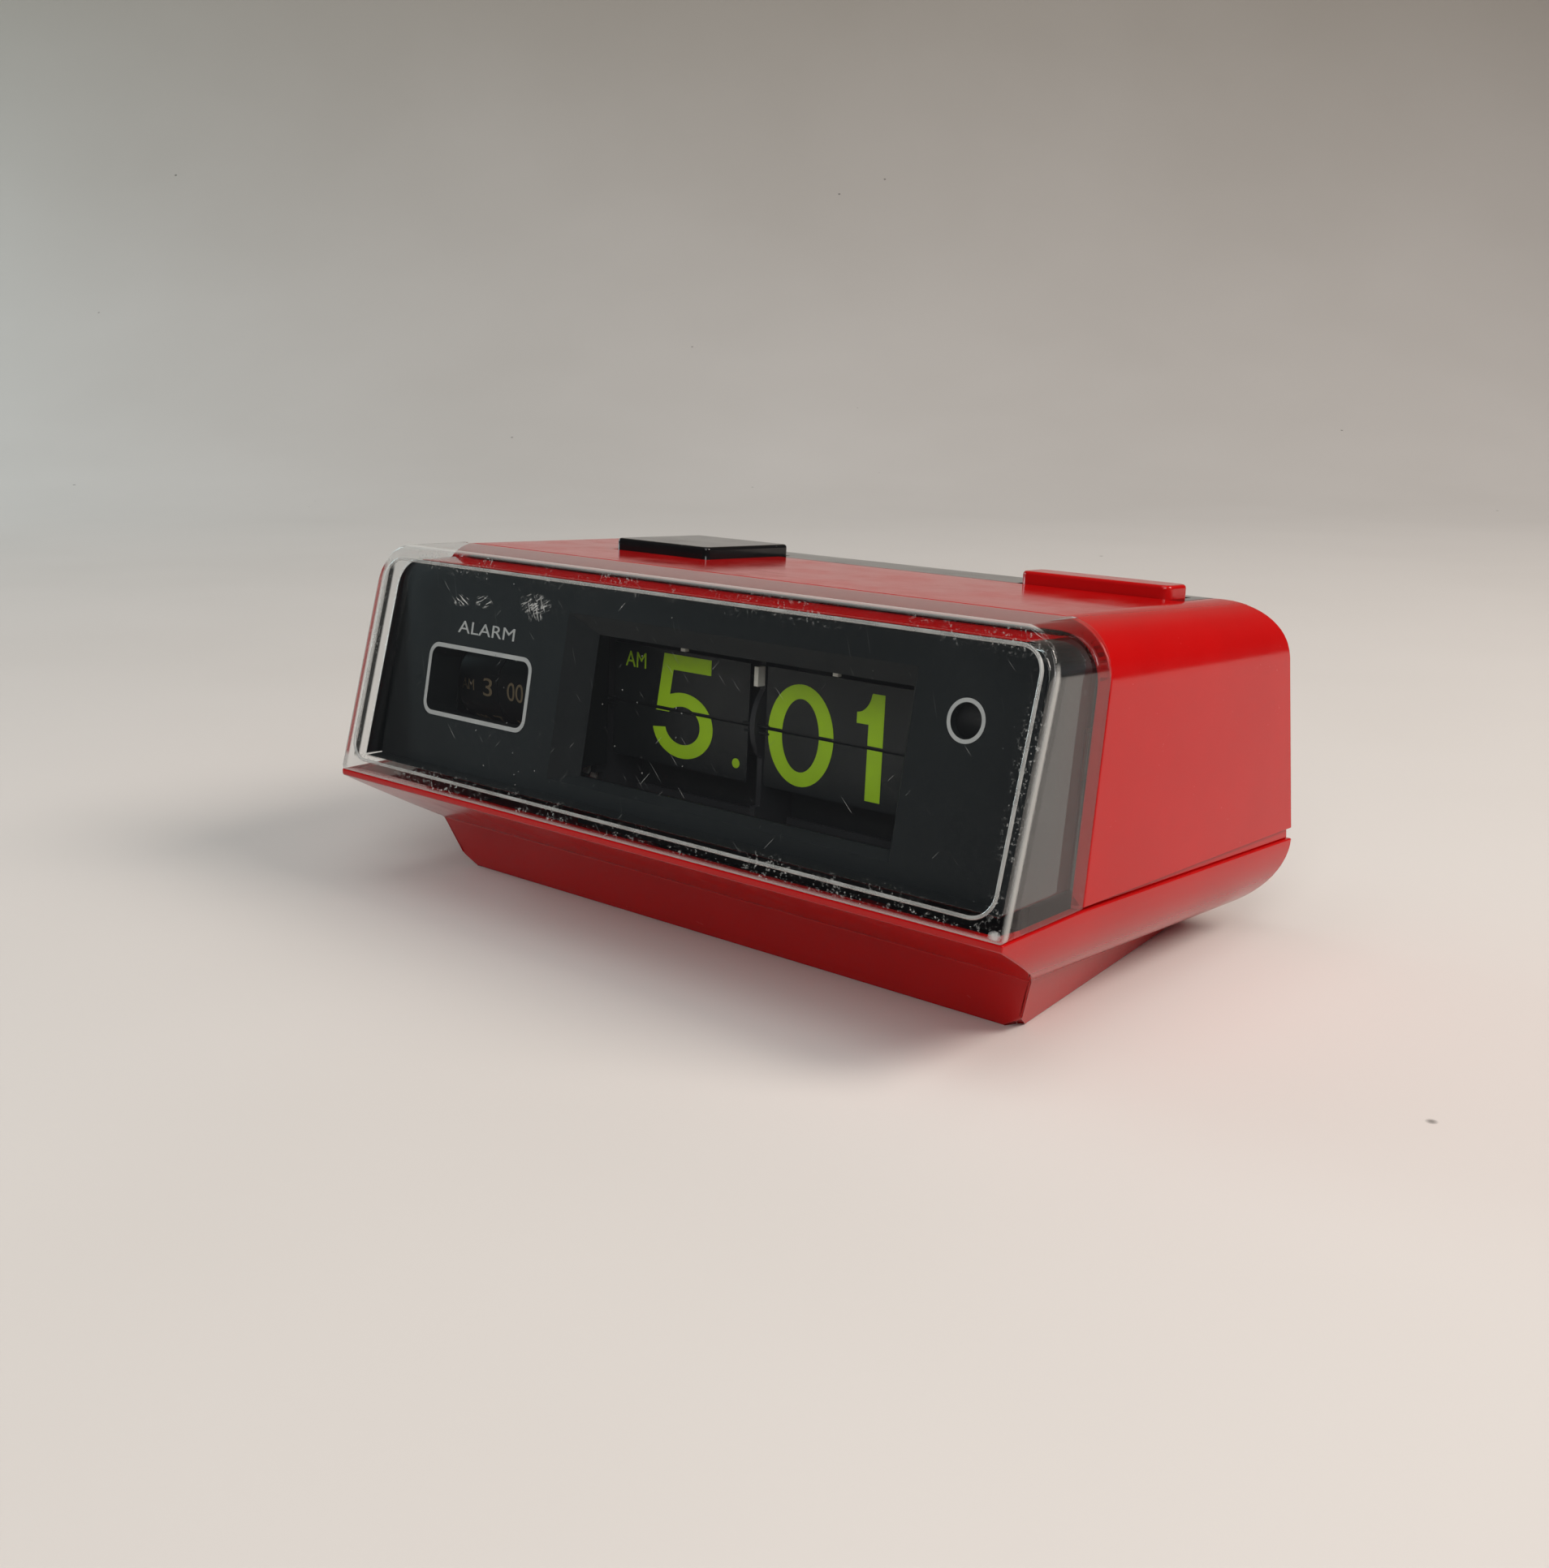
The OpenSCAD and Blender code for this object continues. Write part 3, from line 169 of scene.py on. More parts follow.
class Finish:
    """A material under construction, with the few patterns that the clock's surfaces share."""

    def __init__(self, name):
        self.material = bpy.data.materials.new(name)
        self.material.use_nodes = True
        self.tree = self.material.node_tree
        self.tree.nodes.clear()
        self.output = self.tree.nodes.new("ShaderNodeOutputMaterial")
        self.coordinates = self.node("ShaderNodeTexCoord", {}, {}, "Object")

    def node(self, kind, settings, sockets, out=0):
        """Adds a node, applies its settings, then fills or links its sockets, and wraps one output."""
        made = self.tree.nodes.new(kind)
        for key, value in settings.items():
            setattr(made, key, value)
        for key, value in sockets.items():
            if isinstance(value, Value):
                self.tree.links.new(value.socket, made.inputs[key])
            else:
                made.inputs[key].default_value = value
        return Value(self, made.outputs[out])

    def axis(self, letter, source=None):
        """One coordinate of the surface point in metres."""
        return self.node("ShaderNodeSeparateXYZ", {}, {0: source or self.coordinates}, letter)

    def turned(self, matrix, stretch=(1.0, 1.0, 1.0)):
        """Surface coordinates read in a local frame of the clock, stretched for brushed or drawn marks."""
        place = matrix.inverted()
        settings = {"vector_type": "POINT"}
        sockets = {
            "Vector": self.coordinates,
            "Location": place.to_translation(),
            "Rotation": place.to_euler(),
        }
        local = self.node("ShaderNodeMapping", settings, sockets)
        scale = {"Vector": local, "Scale": stretch}
        return self.node("ShaderNodeMapping", settings, scale)

    def noise(self, scale, detail=3.0, rough=0.55, source=None):
        """Cloudy pattern around one half."""
        sockets = {
            "Vector": source or self.coordinates,
            "Scale": scale,
            "Detail": detail,
            "Roughness": rough,
        }
        return self.node("ShaderNodeTexNoise", {}, sockets)

    def cells(self, scale):
        """Distance to the nearest of many scattered points, for specks and dust."""
        sockets = {"Vector": self.coordinates, "Scale": scale}
        return self.node("ShaderNodeTexVoronoi", {}, sockets, "Distance")

    def wave(self, scale, source, axis, distortion):
        """Bands across one axis, for wires and tracks."""
        settings = {"wave_type": "BANDS", "bands_direction": axis}
        sockets = {"Vector": source, "Scale": scale, "Distortion": distortion}
        return self.node("ShaderNodeTexWave", settings, sockets, 1)

    def ramp(self, factor, low, high, start=0.0, end=1.0):
        """Number that runs from start to end while factor runs from low to high."""
        sockets = {"Value": factor, "From Min": low, "From Max": high, "To Min": start, "To Max": end}
        return self.node("ShaderNodeMapRange", {"clamp": True}, sockets)

    def mix(self, factor, first, second):
        """Colour between two colours."""
        return self.node("ShaderNodeMix", {"data_type": "RGBA"}, {0: factor, 6: first, 7: second}, 2)

    def bump(self, height, distance, strength):
        """Normal of a surface raised by a pattern, over a distance in metres."""
        sockets = {"Strength": strength, "Distance": distance, "Height": height}
        return self.node("ShaderNodeBump", {}, sockets)

    def shade(self, **sockets):
        """Principled surface; names are the socket names with underscores."""
        named = {key.replace("_", " "): value for key, value in sockets.items()}
        return self.node("ShaderNodeBsdfPrincipled", {}, named)

    def close(self, shader):
        """Ends the material with its surface."""
        self.tree.links.new(shader.socket, self.output.inputs["Surface"])
        return self.material


def srgb(red, green, blue):
    """Linear colour from the 0 to 255 values of a colour picker."""
    parts = [value / 255 for value in (red, green, blue)]
    return [part / 12.92 if part < 0.04 else ((part + 0.055) / 1.055) ** 2.4 for part in parts]


# Rubbed patches above the alarm word: middle across and up, half sizes, turn of the strokes
RUBBED_PATCHES = (
    (-0.0565, 0.0398, 0.0035, 0.0013, 0.5),
    (-0.0495, 0.0402, 0.0028, 0.0014, -0.4),
    (-0.0345, 0.0412, 0.0050, 0.0022, -0.5),
    (-0.0340, 0.0404, 0.0036, 0.0028, 1.1),
)
# Fine scratches on the cover: turn, stretch of the pattern and how rare they are
SCRATCHES = (
    (0.7, (90.0, 1500.0, 3400.0), 0.735),
    (-0.9, (120.0, 1500.0, 2600.0), 0.75),
)


def shaded(colour, share):
    """Colour with its brightness multiplied, as a socket value."""
    return [min(1.0, part * share) for part in colour[:3]] + [1.0]


def red_plastic(colours):
    """Glossy moulded case: faint mottling, handling smears and hairline scratches."""
    finish = Finish("red case plastic")
    mottle = finish.noise(45.0, 4.0)
    smear = finish.noise(120.0, 2.0)
    drawn = finish.turned(BODY @ Matrix.Rotation(0.4, 4, "Y"), (40.0, 2600.0, 2600.0))
    hairline = finish.ramp(finish.noise(1.0, 1.0, 0.5, drawn), 0.70, 0.78)
    speck = finish.ramp(finish.cells(420.0), 0.05, 0.09, 1.0, 0.0) * (finish.noise(60.0) > 0.58)
    colour = finish.mix(mottle, shaded(colours.case_red, 0.86), shaded(colours.case_red, 1.10))
    colour = finish.mix(speck * 0.25, colour, shaded(colours.case_red, 0.45))
    rough = finish.ramp(smear, 0.35, 0.7, 0.10, 0.18) + hairline * 0.12
    peel = finish.bump(finish.noise(700.0, 2.0), 0.00002, 0.35)
    return finish.close(
        finish.shade(Base_Color=colour, Roughness=rough, Normal=peel, Specular_IOR_Level=0.32)
    )


def clear_plastic(colours):
    """Clear cover: gloss by angle, painted highlights along the outer edges, a scuffed border, rubbed
    patches, scratches and dust.

    On the thick left wall a painted red reflection of the case and a painted dark strip stand in for what
    the wall shows of the red case and the dark lining where it bends the view.
    """
    finish = Finish("clear cover plastic")
    face = finish.turned(COVER)
    side = finish.axis("X", face)
    across = abs(side)
    depth = finish.axis("Y", face)
    height = finish.axis("Z", face)
    front = finish.ramp(depth, 0.0008, 0.0014, 1.0, 0.0)
    rim = (COVER_HALF * MM - across).least(height).least(COVER_HIGH * MM - height)
    inside = (RIDGE[1] * MM - across).least(height - 0.0030).least(RIDGE[3] * MM - height)
    # Painted highlight: the rim along the cover's outer edges is mixed towards white
    edge = finish.ramp(rim, 0.0001, 0.0008, 0.55, 0.0)
    grit = finish.noise(1500.0, 3.0, 0.7)
    patch = finish.ramp(finish.noise(85.0, 3.0), 0.46, 0.60)
    border = finish.ramp(inside, 0.0, 0.0022, 1.0, 0.0)
    worn = finish.ramp(grit, 0.56, 0.66) * patch * border * 0.6
    low = finish.ramp(height, 0.0018, 0.0030, 1.0, 0.0) * finish.ramp(height, 0.0008, 0.0014)
    worn = worn.most(finish.ramp(grit, 0.60, 0.68) * low * finish.ramp(side, -0.03, 0.03) * 0.7)
    rubbed = worn * 0.0
    for x, z, wide, high, turn in RUBBED_PATCHES:
        near = ((side - x) * (1.0 / wide)) ** 2.0 + ((height - z) * (1.0 / high)) ** 2.0
        strokes = finish.turned(COVER @ Matrix.Rotation(turn, 4, "Y"), (420.0, 900.0, 2600.0))
        stroke = finish.ramp(finish.noise(1.0, 2.0, 0.6, strokes), 0.54, 0.60)
        rubbed = rubbed.most(stroke * finish.ramp(near, 0.35, 1.0, 0.75, 0.0))
    scratch = rubbed * 0.0
    for turn, stretch, limit in SCRATCHES:
        drawn = finish.turned(COVER @ Matrix.Rotation(turn, 4, "Y"), stretch)
        streak = finish.noise(1.0, 1.5, 0.5, drawn)
        scratch = scratch.most(finish.ramp(streak, limit, limit + 0.022, 0.0, 0.3))
    dust = finish.ramp(finish.cells(300.0), 0.035, 0.06, 0.35, 0.0) * (finish.noise(35.0) > 0.55)
    corner = ((side - 0.0832) * 800.0) ** 2.0 + ((height - 0.0011) * 1100.0) ** 2.0
    chipped = finish.ramp(corner + grit * 1.6, 1.0, 1.9, 0.8, 0.0)
    # The white mix carries real wear, rubbed patches, scratches, the chip and dust, and also the painted
    # edge highlight
    mark = (edge.most(worn).most(rubbed).most(scratch).most(chipped) * front).most(dust)
    facing = finish.node("ShaderNodeLayerWeight", {}, {"Blend": 0.5}, "Facing")
    walls = finish.ramp(across, 0.0812, 0.0818) * finish.ramp(depth, 0.0026, 0.0030)
    gloss = facing ** 5.0 * 0.85 + walls * 0.035 + 0.032
    clear = finish.node("ShaderNodeBsdfTransparent", {}, {"Color": (0.97, 0.98, 0.98, 1.0)})
    mirror = finish.node("ShaderNodeBsdfGlossy", {}, {"Color": (1.0, 1.0, 1.0, 1.0), "Roughness": 0.05})
    pale_diffuse = finish.node("ShaderNodeBsdfDiffuse", {}, {"Color": shaded(colours.scuff_and_highlight_white, 1.0)})
    sheet = finish.node("ShaderNodeMixShader", {}, {0: gloss, 1: clear, 2: mirror})
    upright = finish.ramp(height, 0.0032, 0.0042) * finish.ramp(height, 0.0440, 0.0462, 1.0, 0.0) * front
    # Painted refraction: a dark strip on the left wall's face stands in for the dark lining seen bent
    # through the thick wall
    bent = finish.ramp(side, -0.0818, -0.0815) * finish.ramp(side, -0.0804, -0.0798, 0.93, 0.0) * upright
    # Painted reflection: a red strip nearer the outer edge stands in for the red case reflected in the
    # thick wall
    painted_case_reflection = finish.ramp(side, -0.0848, -0.0845) * finish.ramp(side, -0.0838, -0.0834, 0.7, 0.0) * upright
    # Flat colours of the painted dark view of the lining and of the painted red reflection of the case
    lining = finish.node("ShaderNodeBsdfDiffuse", {}, {"Color": shaded(colours.dial, 1.0)})
    case = finish.node("ShaderNodeBsdfDiffuse", {}, {"Color": shaded(colours.case_red, 0.8)})
    sheet = finish.node("ShaderNodeMixShader", {}, {0: bent, 1: sheet, 2: lining})
    sheet = finish.node("ShaderNodeMixShader", {}, {0: painted_case_reflection, 1: sheet, 2: case})
    return finish.close(finish.node("ShaderNodeMixShader", {}, {0: mark, 1: sheet, 2: pale_diffuse}))


def clear_ridge(colours):
    """Moulded bead of the cover, with a painted highlight: a milky white mix stands in for the light that
    gathers in it.
    """
    finish = Finish("clear cover bead")
    # Painted highlight: the bead is mixed towards white where light would gather in it
    painted_bead_highlight = finish.ramp(finish.noise(160.0, 3.0), 0.3, 0.7, 0.22, 0.52)
    facing = finish.node("ShaderNodeLayerWeight", {}, {"Blend": 0.5}, "Facing")
    clear = finish.node("ShaderNodeBsdfTransparent", {}, {"Color": (0.95, 0.95, 0.95, 1.0)})
    mirror = finish.node("ShaderNodeBsdfGlossy", {}, {"Color": (1.0, 1.0, 1.0, 1.0), "Roughness": 0.12})
    pale_diffuse = finish.node("ShaderNodeBsdfDiffuse", {}, {"Color": shaded(colours.scuff_and_highlight_white, 1.0)})
    sheet = finish.node("ShaderNodeMixShader", {}, {0: facing ** 3.0 * 0.7 + 0.08, 1: clear, 2: mirror})
    return finish.close(finish.node("ShaderNodeMixShader", {}, {0: painted_bead_highlight, 1: sheet, 2: pale_diffuse}))


def dial_black(colours):
    """Satin printed dial: fine grain, dust and a few rubbed streaks."""
    finish = Finish("satin dial black")
    grain = finish.noise(2600.0, 2.0)
    cloud = finish.noise(28.0, 3.0)
    dust = finish.ramp(finish.cells(520.0), 0.04, 0.08, 1.0, 0.0) * (finish.noise(80.0) > 0.60)
    drawn = finish.turned(DIAL @ Matrix.Rotation(1.2, 4, "Y"), (70.0, 800.0, 1800.0))
    streak = finish.ramp(finish.noise(1.0, 1.0, 0.5, drawn), 0.72, 0.78)
    colour = finish.mix(cloud, shaded(colours.dial, 0.8), shaded(colours.dial, 1.25))
    colour = finish.mix(dust * 0.35 + streak * 0.10, colour, shaded(colours.print_grey, 0.6))
    rough = finish.ramp(cloud, 0.3, 0.7, 0.42, 0.58)
    height = finish.bump(grain, 0.00003, 0.5)
    return finish.close(
        finish.shade(Base_Color=colour, Roughness=rough, Specular_IOR_Level=0.3, Normal=height)
    )


def gloss_black(colours):
    """Polished black buttons and strip with dust lying on them."""
    finish = Finish("gloss black plastic")
    smear = finish.noise(95.0, 3.0)
    dust = finish.ramp(finish.cells(600.0), 0.05, 0.09, 1.0, 0.0) * (finish.noise(120.0) > 0.55)
    colour = finish.mix(smear, shaded(colours.gloss, 0.7), shaded(colours.gloss, 1.4))
    colour = finish.mix(dust * 0.22, colour, shaded(colours.print_grey, 0.55))
    rough = finish.ramp(smear, 0.35, 0.7, 0.06, 0.16) + dust * 0.3
    return finish.close(
        finish.shade(
            Base_Color=colour,
            Roughness=rough,
            Specular_IOR_Level=0.25,
            Coat_Weight=0.12,
            Coat_Roughness=0.03,
        )
    )


def moulded(name, colour, rough, grain):
    """Plain moulded plastic with a spark-eroded grain and slight shade drift."""
    finish = Finish(name)
    drift = finish.noise(55.0, 3.0)
    pores = finish.noise(grain, 2.0)
    shade = finish.mix(drift, shaded(colour, 0.82), shaded(colour, 1.15))
    gloss = finish.ramp(drift, 0.3, 0.7, rough - 0.07, rough + 0.07)
    return finish.close(
        finish.shade(Base_Color=shade, Roughness=gloss, Normal=finish.bump(pores, 0.00003, 0.5))
    )


def printed(name, colour, wear=0.16):
    """Screen-printed ink: slightly uneven, with worn pinholes."""
    finish = Finish(name)
    cloud = finish.noise(240.0, 3.0)
    pinhole = finish.ramp(finish.cells(900.0), 0.05, 0.10, 1.0, 0.0) * (finish.noise(200.0) > 0.56)
    shade = finish.mix(cloud, shaded(colour, 0.86), shaded(colour, 1.12))
    shade = finish.mix(pinhole * wear * 3.0, shade, shaded(colour, 0.35))
    rough = finish.ramp(cloud, 0.3, 0.7, 0.48, 0.64)
    return finish.close(finish.shade(Base_Color=shade, Roughness=rough))


def metal(name, colour, rough):
    """Drawn or turned metal with fine tool lines round its length and dull spots."""
    finish = Finish(name)
    lines = finish.noise(1.0, 2.0, 0.6, finish.turned(BODY, (2600.0, 260.0, 260.0)))
    spots = finish.noise(160.0, 3.0)
    shade = finish.mix(spots, shaded(colour, 0.78), shaded(colour, 1.08))
    gloss = finish.ramp(lines, 0.3, 0.7, rough - 0.1, rough + 0.12)
    height = finish.bump(lines, 0.00001, 0.4)
    return finish.close(finish.shade(Base_Color=shade, Roughness=gloss, Metallic=1.0, Normal=height))


def wound_copper(colours):
    """Enamelled wire laid side by side, with painted shade in the grooves between the turns."""
    finish = Finish("wound copper wire")
    turns = finish.wave(620.0, finish.turned(BODY), "Y", 0.6)
    # Painted shade: the grooves between the wire turns are darkened in the colour
    shade = finish.mix(turns, shaded(colours.copper, 0.35), shaded(colours.copper, 1.0))
    height = finish.bump(turns, 0.00008, 0.8)
    return finish.close(finish.shade(Base_Color=shade, Roughness=0.32, Metallic=0.75, Normal=height))


def cell_label(colours):
    """Plain wrapped cell: a coloured sleeve, a dark band at one end and bare steel at the terminals."""
    finish = Finish("cell sleeve")
    along = finish.axis("X", finish.turned(BODY))
    band = finish.ramp(along, 0.0095, 0.0100)
    bare = finish.ramp(abs(along), 0.0242, 0.0244)
    wrinkle = finish.noise(320.0, 3.0)
    sleeve = finish.mix(band, shaded(colours.sleeve, 1.0), shaded(colours.gloss, 2.0))
    colour = finish.mix(bare, sleeve, shaded(colours.steel, 1.0))
    colour = finish.mix(wrinkle * 0.12, colour, shaded(colours.gloss, 1.0))
    rough = finish.ramp(wrinkle, 0.3, 0.7, 0.26, 0.42)
    return finish.close(finish.shade(Base_Color=colour, Roughness=rough, Metallic=bare))


def board_green(colours):
    """Lacquered circuit board with copper tracks under the lacquer."""
    finish = Finish("lacquered board")
    local = finish.turned(BODY)
    tracks = finish.wave(150.0, local, "Y", 1.2) > 0.62
    weave = finish.noise(1800.0, 2.0)
    shade = finish.mix(tracks * 0.55, shaded(colours.board, 0.8), shaded(colours.board, 1.9))
    shade = finish.mix(weave * 0.25, shade, shaded(colours.board, 0.5))
    rough = finish.ramp(weave, 0.3, 0.7, 0.28, 0.40)
    return finish.close(
        finish.shade(Base_Color=shade, Roughness=rough, Normal=finish.bump(tracks, 0.00003, 0.6))
    )


def lamp_glass(colours):
    """Small frosted lamp bulb."""
    finish = Finish("lamp glass")
    frost = finish.noise(900.0, 2.0)
    shade = finish.mix(frost, shaded(colours.lamp, 0.9), shaded(colours.lamp, 1.1))
    rough = finish.ramp(frost, 0.3, 0.7, 0.10, 0.25)
    return finish.close(finish.shade(Base_Color=shade, Roughness=rough, Coat_Weight=0.6))


FINISHES = {}
NODE_SLOT = {part["node"]: part["material_slot"] for part in frame["record"]["subparts"]}
NODE_BODY = {
    node: body for body, nodes in frame["record"]["behaviour"]["bodies"].items() for node in nodes
}


def add_piece(name, mesh, body, finish):
    """Shows a mesh as a piece that moves with a body of the clock."""
    piece = bpy.data.objects.new(name.replace(" ", "_"), mesh)
    bpy.context.scene.collection.objects.link(piece)
    mesh.materials.clear()
    mesh.materials.append(FINISHES[finish])
    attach(piece, body)
    return piece


def finish_node(node):
    """Gives a solid that stays in view the finish of its own slot."""
    mesh = frame["nodes"][node].data
    mesh.materials.clear()
    mesh.materials.append(FINISHES[NODE_SLOT[node]])


def rounded_edges(shell, edges, radius, segments=8):
    """Rounds chosen edges of a bmesh by a radius in millimetres."""
    bmesh.ops.bevel(
        shell,
        geom=edges,
        affect="EDGES",
        offset=radius * MM,
        offset_type="OFFSET",
        segments=segments,
        profile=0.5,
        clamp_overlap=False,
        material=-1,
    )


def foot_corners(shell):
    """Front corner edges of the foot, where its front meets its sides."""
    level = BODY.inverted()
    corners = []
    for edge in shell.edges:
        ends = [level @ vertex.co / MM for vertex in edge.verts]
        outer = all(66.0 < abs(end.x) < 78.0 and end.y < 30.0 for end in ends)
        tall = abs(ends[0].z - ends[1].z) > 4.0
        sharp = edge.is_convex and len(edge.link_faces) == 2 and edge.calc_face_angle() > 0.6
        if outer and tall and sharp:
            corners.append(edge)
    if len(corners) != 2:
        raise RuntimeError(f"the foot has {len(corners)} front corner edges instead of 2")
    return corners


def button_corners(shell):
    """Upright corner edges of a button above its flange, once its flat triangles are joined."""
    level = BODY.inverted()
    top = max((level @ vertex.co).z for vertex in shell.verts)
    flat = []
    for edge in shell.edges:
        faces = edge.link_faces
        ledge = faces[0].normal.z > 0.9 and (level @ edge.verts[0].co).z < top - MM
        if edge.calc_face_angle() < 0.01 and not ledge:
            flat.append(edge)
    bmesh.ops.dissolve_edges(shell, edges=flat, use_verts=False)
    corners = []
    for edge in shell.edges:
        start, end = (level @ vertex.co / MM for vertex in edge.verts)
        upright = (start.xy - end.xy).length < 0.05 and abs(start.z - end.z) > 4.0
        if upright and edge.is_convex and edge.calc_face_angle() > 0.6:
            corners.append(edge)
    if len(corners) != 4:
        raise RuntimeError(f"the button has {len(corners)} upright corner edges instead of 4")
    return corners


def outer_edges(shell, sharp_over):
    """Marks the sharp edges that stand out, so that rounding takes material away and adds none."""
    shell.normal_update()
    weights = shell.edges.layers.float.new("bevel_weight_edge")
    for edge in shell.edges:
        edge[weights] = float(edge.is_convex and edge.calc_face_angle() > radians(sharp_over))


def softened(
    node, name, width, segments=3, sharp_over=30.0, corners=None, corner_radius=FOOT_CORNER, outer=False
):
    """Copy of a solid with its sharp edges rounded by a width in millimetres, shown in its place."""
    shell = bmesh.new()
    shell.from_mesh(frame["nodes"][node].data)
    bmesh.ops.remove_doubles(shell, verts=shell.verts, dist=SLIVER * MM)
    if corners:
        rounded_edges(shell, corners(shell), corner_radius)
        for vertex in shell.verts:
            vertex.co.z = max(vertex.co.z, 0.0)
    if outer:
        outer_edges(shell, sharp_over)
    mesh = bpy.data.meshes.new(name)
    shell.to_mesh(mesh)
    shell.free()
    mesh.shade_smooth()
    piece = add_piece(name, mesh, NODE_BODY[node], NODE_SLOT[node])
    rounding = piece.modifiers.new("Edge rounding", "BEVEL")
    rounding.width = width * MM
    rounding.segments = segments
    rounding.limit_method = "WEIGHT" if outer else "ANGLE"
    rounding.angle_limit = radians(sharp_over)
    rounding.use_clamp_overlap = False
    shading = piece.modifiers.new("Even shading", "WEIGHTED_NORMAL")
    shading.weight = 60
    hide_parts(node)
    return piece


def bead_mesh(name, loop, radius, sides=10):
    """Round bead along a closed loop of (across, up) points in millimetres, standing upright."""
    curve = bpy.data.curves.new(name, "CURVE")
    curve.dimensions = "3D"
    curve.bevel_depth = radius * MM
    curve.bevel_resolution = sides // 4
    spline = curve.splines.new("POLY")
    spline.points.add(len(loop) - 1)
    spline.use_cyclic_u = True
    for point, (across, up) in zip(spline.points, loop):
        point.co = (across * MM, up * MM, 0.0, 1.0)
    mesh = mesh_of(curve)
    mesh.shade_smooth()
    return mesh


def mesh_of(curve):
    """Mesh of a flat curve or text, stood upright so that it faces the front."""
    holder = bpy.data.objects.new(curve.name, curve)
    bpy.context.scene.collection.objects.link(holder)
    mesh = bpy.data.meshes.new_from_object(holder.evaluated_get(bpy.context.evaluated_depsgraph_get()))
    bpy.data.objects.remove(holder)
    bpy.data.curves.remove(curve)
    mesh.transform(Matrix.Rotation(pi / 2, 4, "X"))
    return mesh


def outline_mesh(name, loops, thick):
    """Upright plate bounded by loops of (across, up) points in millimetres; inner loops are holes."""
    curve = bpy.data.curves.new(name, "CURVE")
    curve.dimensions = "2D"
    curve.fill_mode = "BOTH"
    curve.extrude = thick * MM / 2
    for loop in loops:
        spline = curve.splines.new("POLY")
        spline.points.add(len(loop) - 1)
        spline.use_cyclic_u = True
        for point, (across, up) in zip(spline.points, loop):
            point.co = (across * MM, up * MM, 0.0, 1.0)
    return mesh_of(curve)


def word_mesh(word, box, thick):
    """Upright lettering fitted into a box (left, right, bottom, top) in millimetres."""
    curve = bpy.data.curves.new(word, "FONT")
    curve.body = word
    curve.size = 10 * MM
    curve.extrude = thick * MM / 2
    mesh = mesh_of(curve)
    xs = [vertex.co.x for vertex in mesh.vertices]
    zs = [vertex.co.z for vertex in mesh.vertices]
    left, right, bottom, top = (value * MM for value in box)
    wide = (right - left) / (max(xs) - min(xs))
    tall = (top - bottom) / (max(zs) - min(zs))
    mesh.transform(Matrix.Translation((-min(xs), 0.0, -min(zs))))
    mesh.transform(Matrix.Diagonal((wide, 1.0, tall, 1.0)))
    mesh.transform(Matrix.Translation((left, 0.0, bottom)))
    return mesh


def arc(centre, radii, start, end, steps=24):
    """Points of an ellipse arc in degrees, both ends included."""
    turns = [radians(start + (end - start) * step / steps) for step in range(steps + 1)]
    return [(centre[0] + radii[0] * cos(turn), centre[1] + radii[1] * sin(turn)) for turn in turns]


def grown(box, by):
    """Box (left, right, bottom, top) moved outwards on every side."""
    left, right, bottom, top = box
    return left - by, right + by, bottom - by, top + by


def rounded_box(box, radius):
    """Loop of a box (left, right, bottom, top) with round corners."""
    left, right, bottom, top = box
    corners = ((right, top, 0), (left, top, 90), (left, bottom, 180), (right, bottom, 270))
    loop = []
    for x, z, start in corners:
        centre = (x - radius if x == right else x + radius, z - radius if z == top else z + radius)
        loop += arc(centre, (radius, radius), start, start + 90, 8)
    return loop


def cut_mesh(mesh, height, keep_above):
    """Part of an upright mesh above or below a height in millimetres."""
    piece = bmesh.new()
    piece.from_mesh(mesh)
    bmesh.ops.bisect_plane(
        piece,
        geom=piece.verts[:] + piece.edges[:] + piece.faces[:],
        plane_co=(0.0, 0.0, height * MM),
        plane_no=(0.0, 0.0, 1.0),
        clear_inner=keep_above,
        clear_outer=not keep_above,
    )
    half = bpy.data.meshes.new(mesh.name)
    piece.to_mesh(half)
    piece.free()
    return half


def wrapped(mesh, radius, slices=10):
    """Upright mesh centred on height zero, bent round a drum whose axis runs across."""
    piece = bmesh.new()
    piece.from_mesh(mesh)
    reach = max(vertex.co.z for vertex in piece.verts)
    for step in range(1, slices):
        bmesh.ops.bisect_plane(
            piece,
            geom=piece.verts[:] + piece.edges[:] + piece.faces[:],
            plane_co=(0.0, 0.0, reach * (2 * step / slices - 1)),
            plane_no=(0.0, 0.0, 1.0),
        )
    for vertex in piece.verts:
        turn = vertex.co.z / (radius * MM)
        out = radius * MM - vertex.co.y
        vertex.co = (vertex.co.x, -out * cos(turn), out * sin(turn))
    piece.to_mesh(mesh)
    piece.free()
    return mesh


def sheet_mesh(name, rows, thick):
    """Sheet through rows of points in millimetres, thickened to one side."""
    sheet = bmesh.new()
    grid = [[sheet.verts.new(Vector(point) * MM) for point in row] for row in rows]
    for upper, lower in zip(grid, grid[1:]):
        for step in range(len(upper) - 1):
            sheet.faces.new((upper[step], upper[step + 1], lower[step + 1], lower[step]))
    sheet.normal_update()
    bmesh.ops.solidify(sheet, geom=sheet.faces[:], thickness=thick * MM)
    bmesh.ops.recalc_face_normals(sheet, faces=sheet.faces)
    mesh = bpy.data.meshes.new(name)
    sheet.to_mesh(mesh)
    sheet.free()
    return mesh


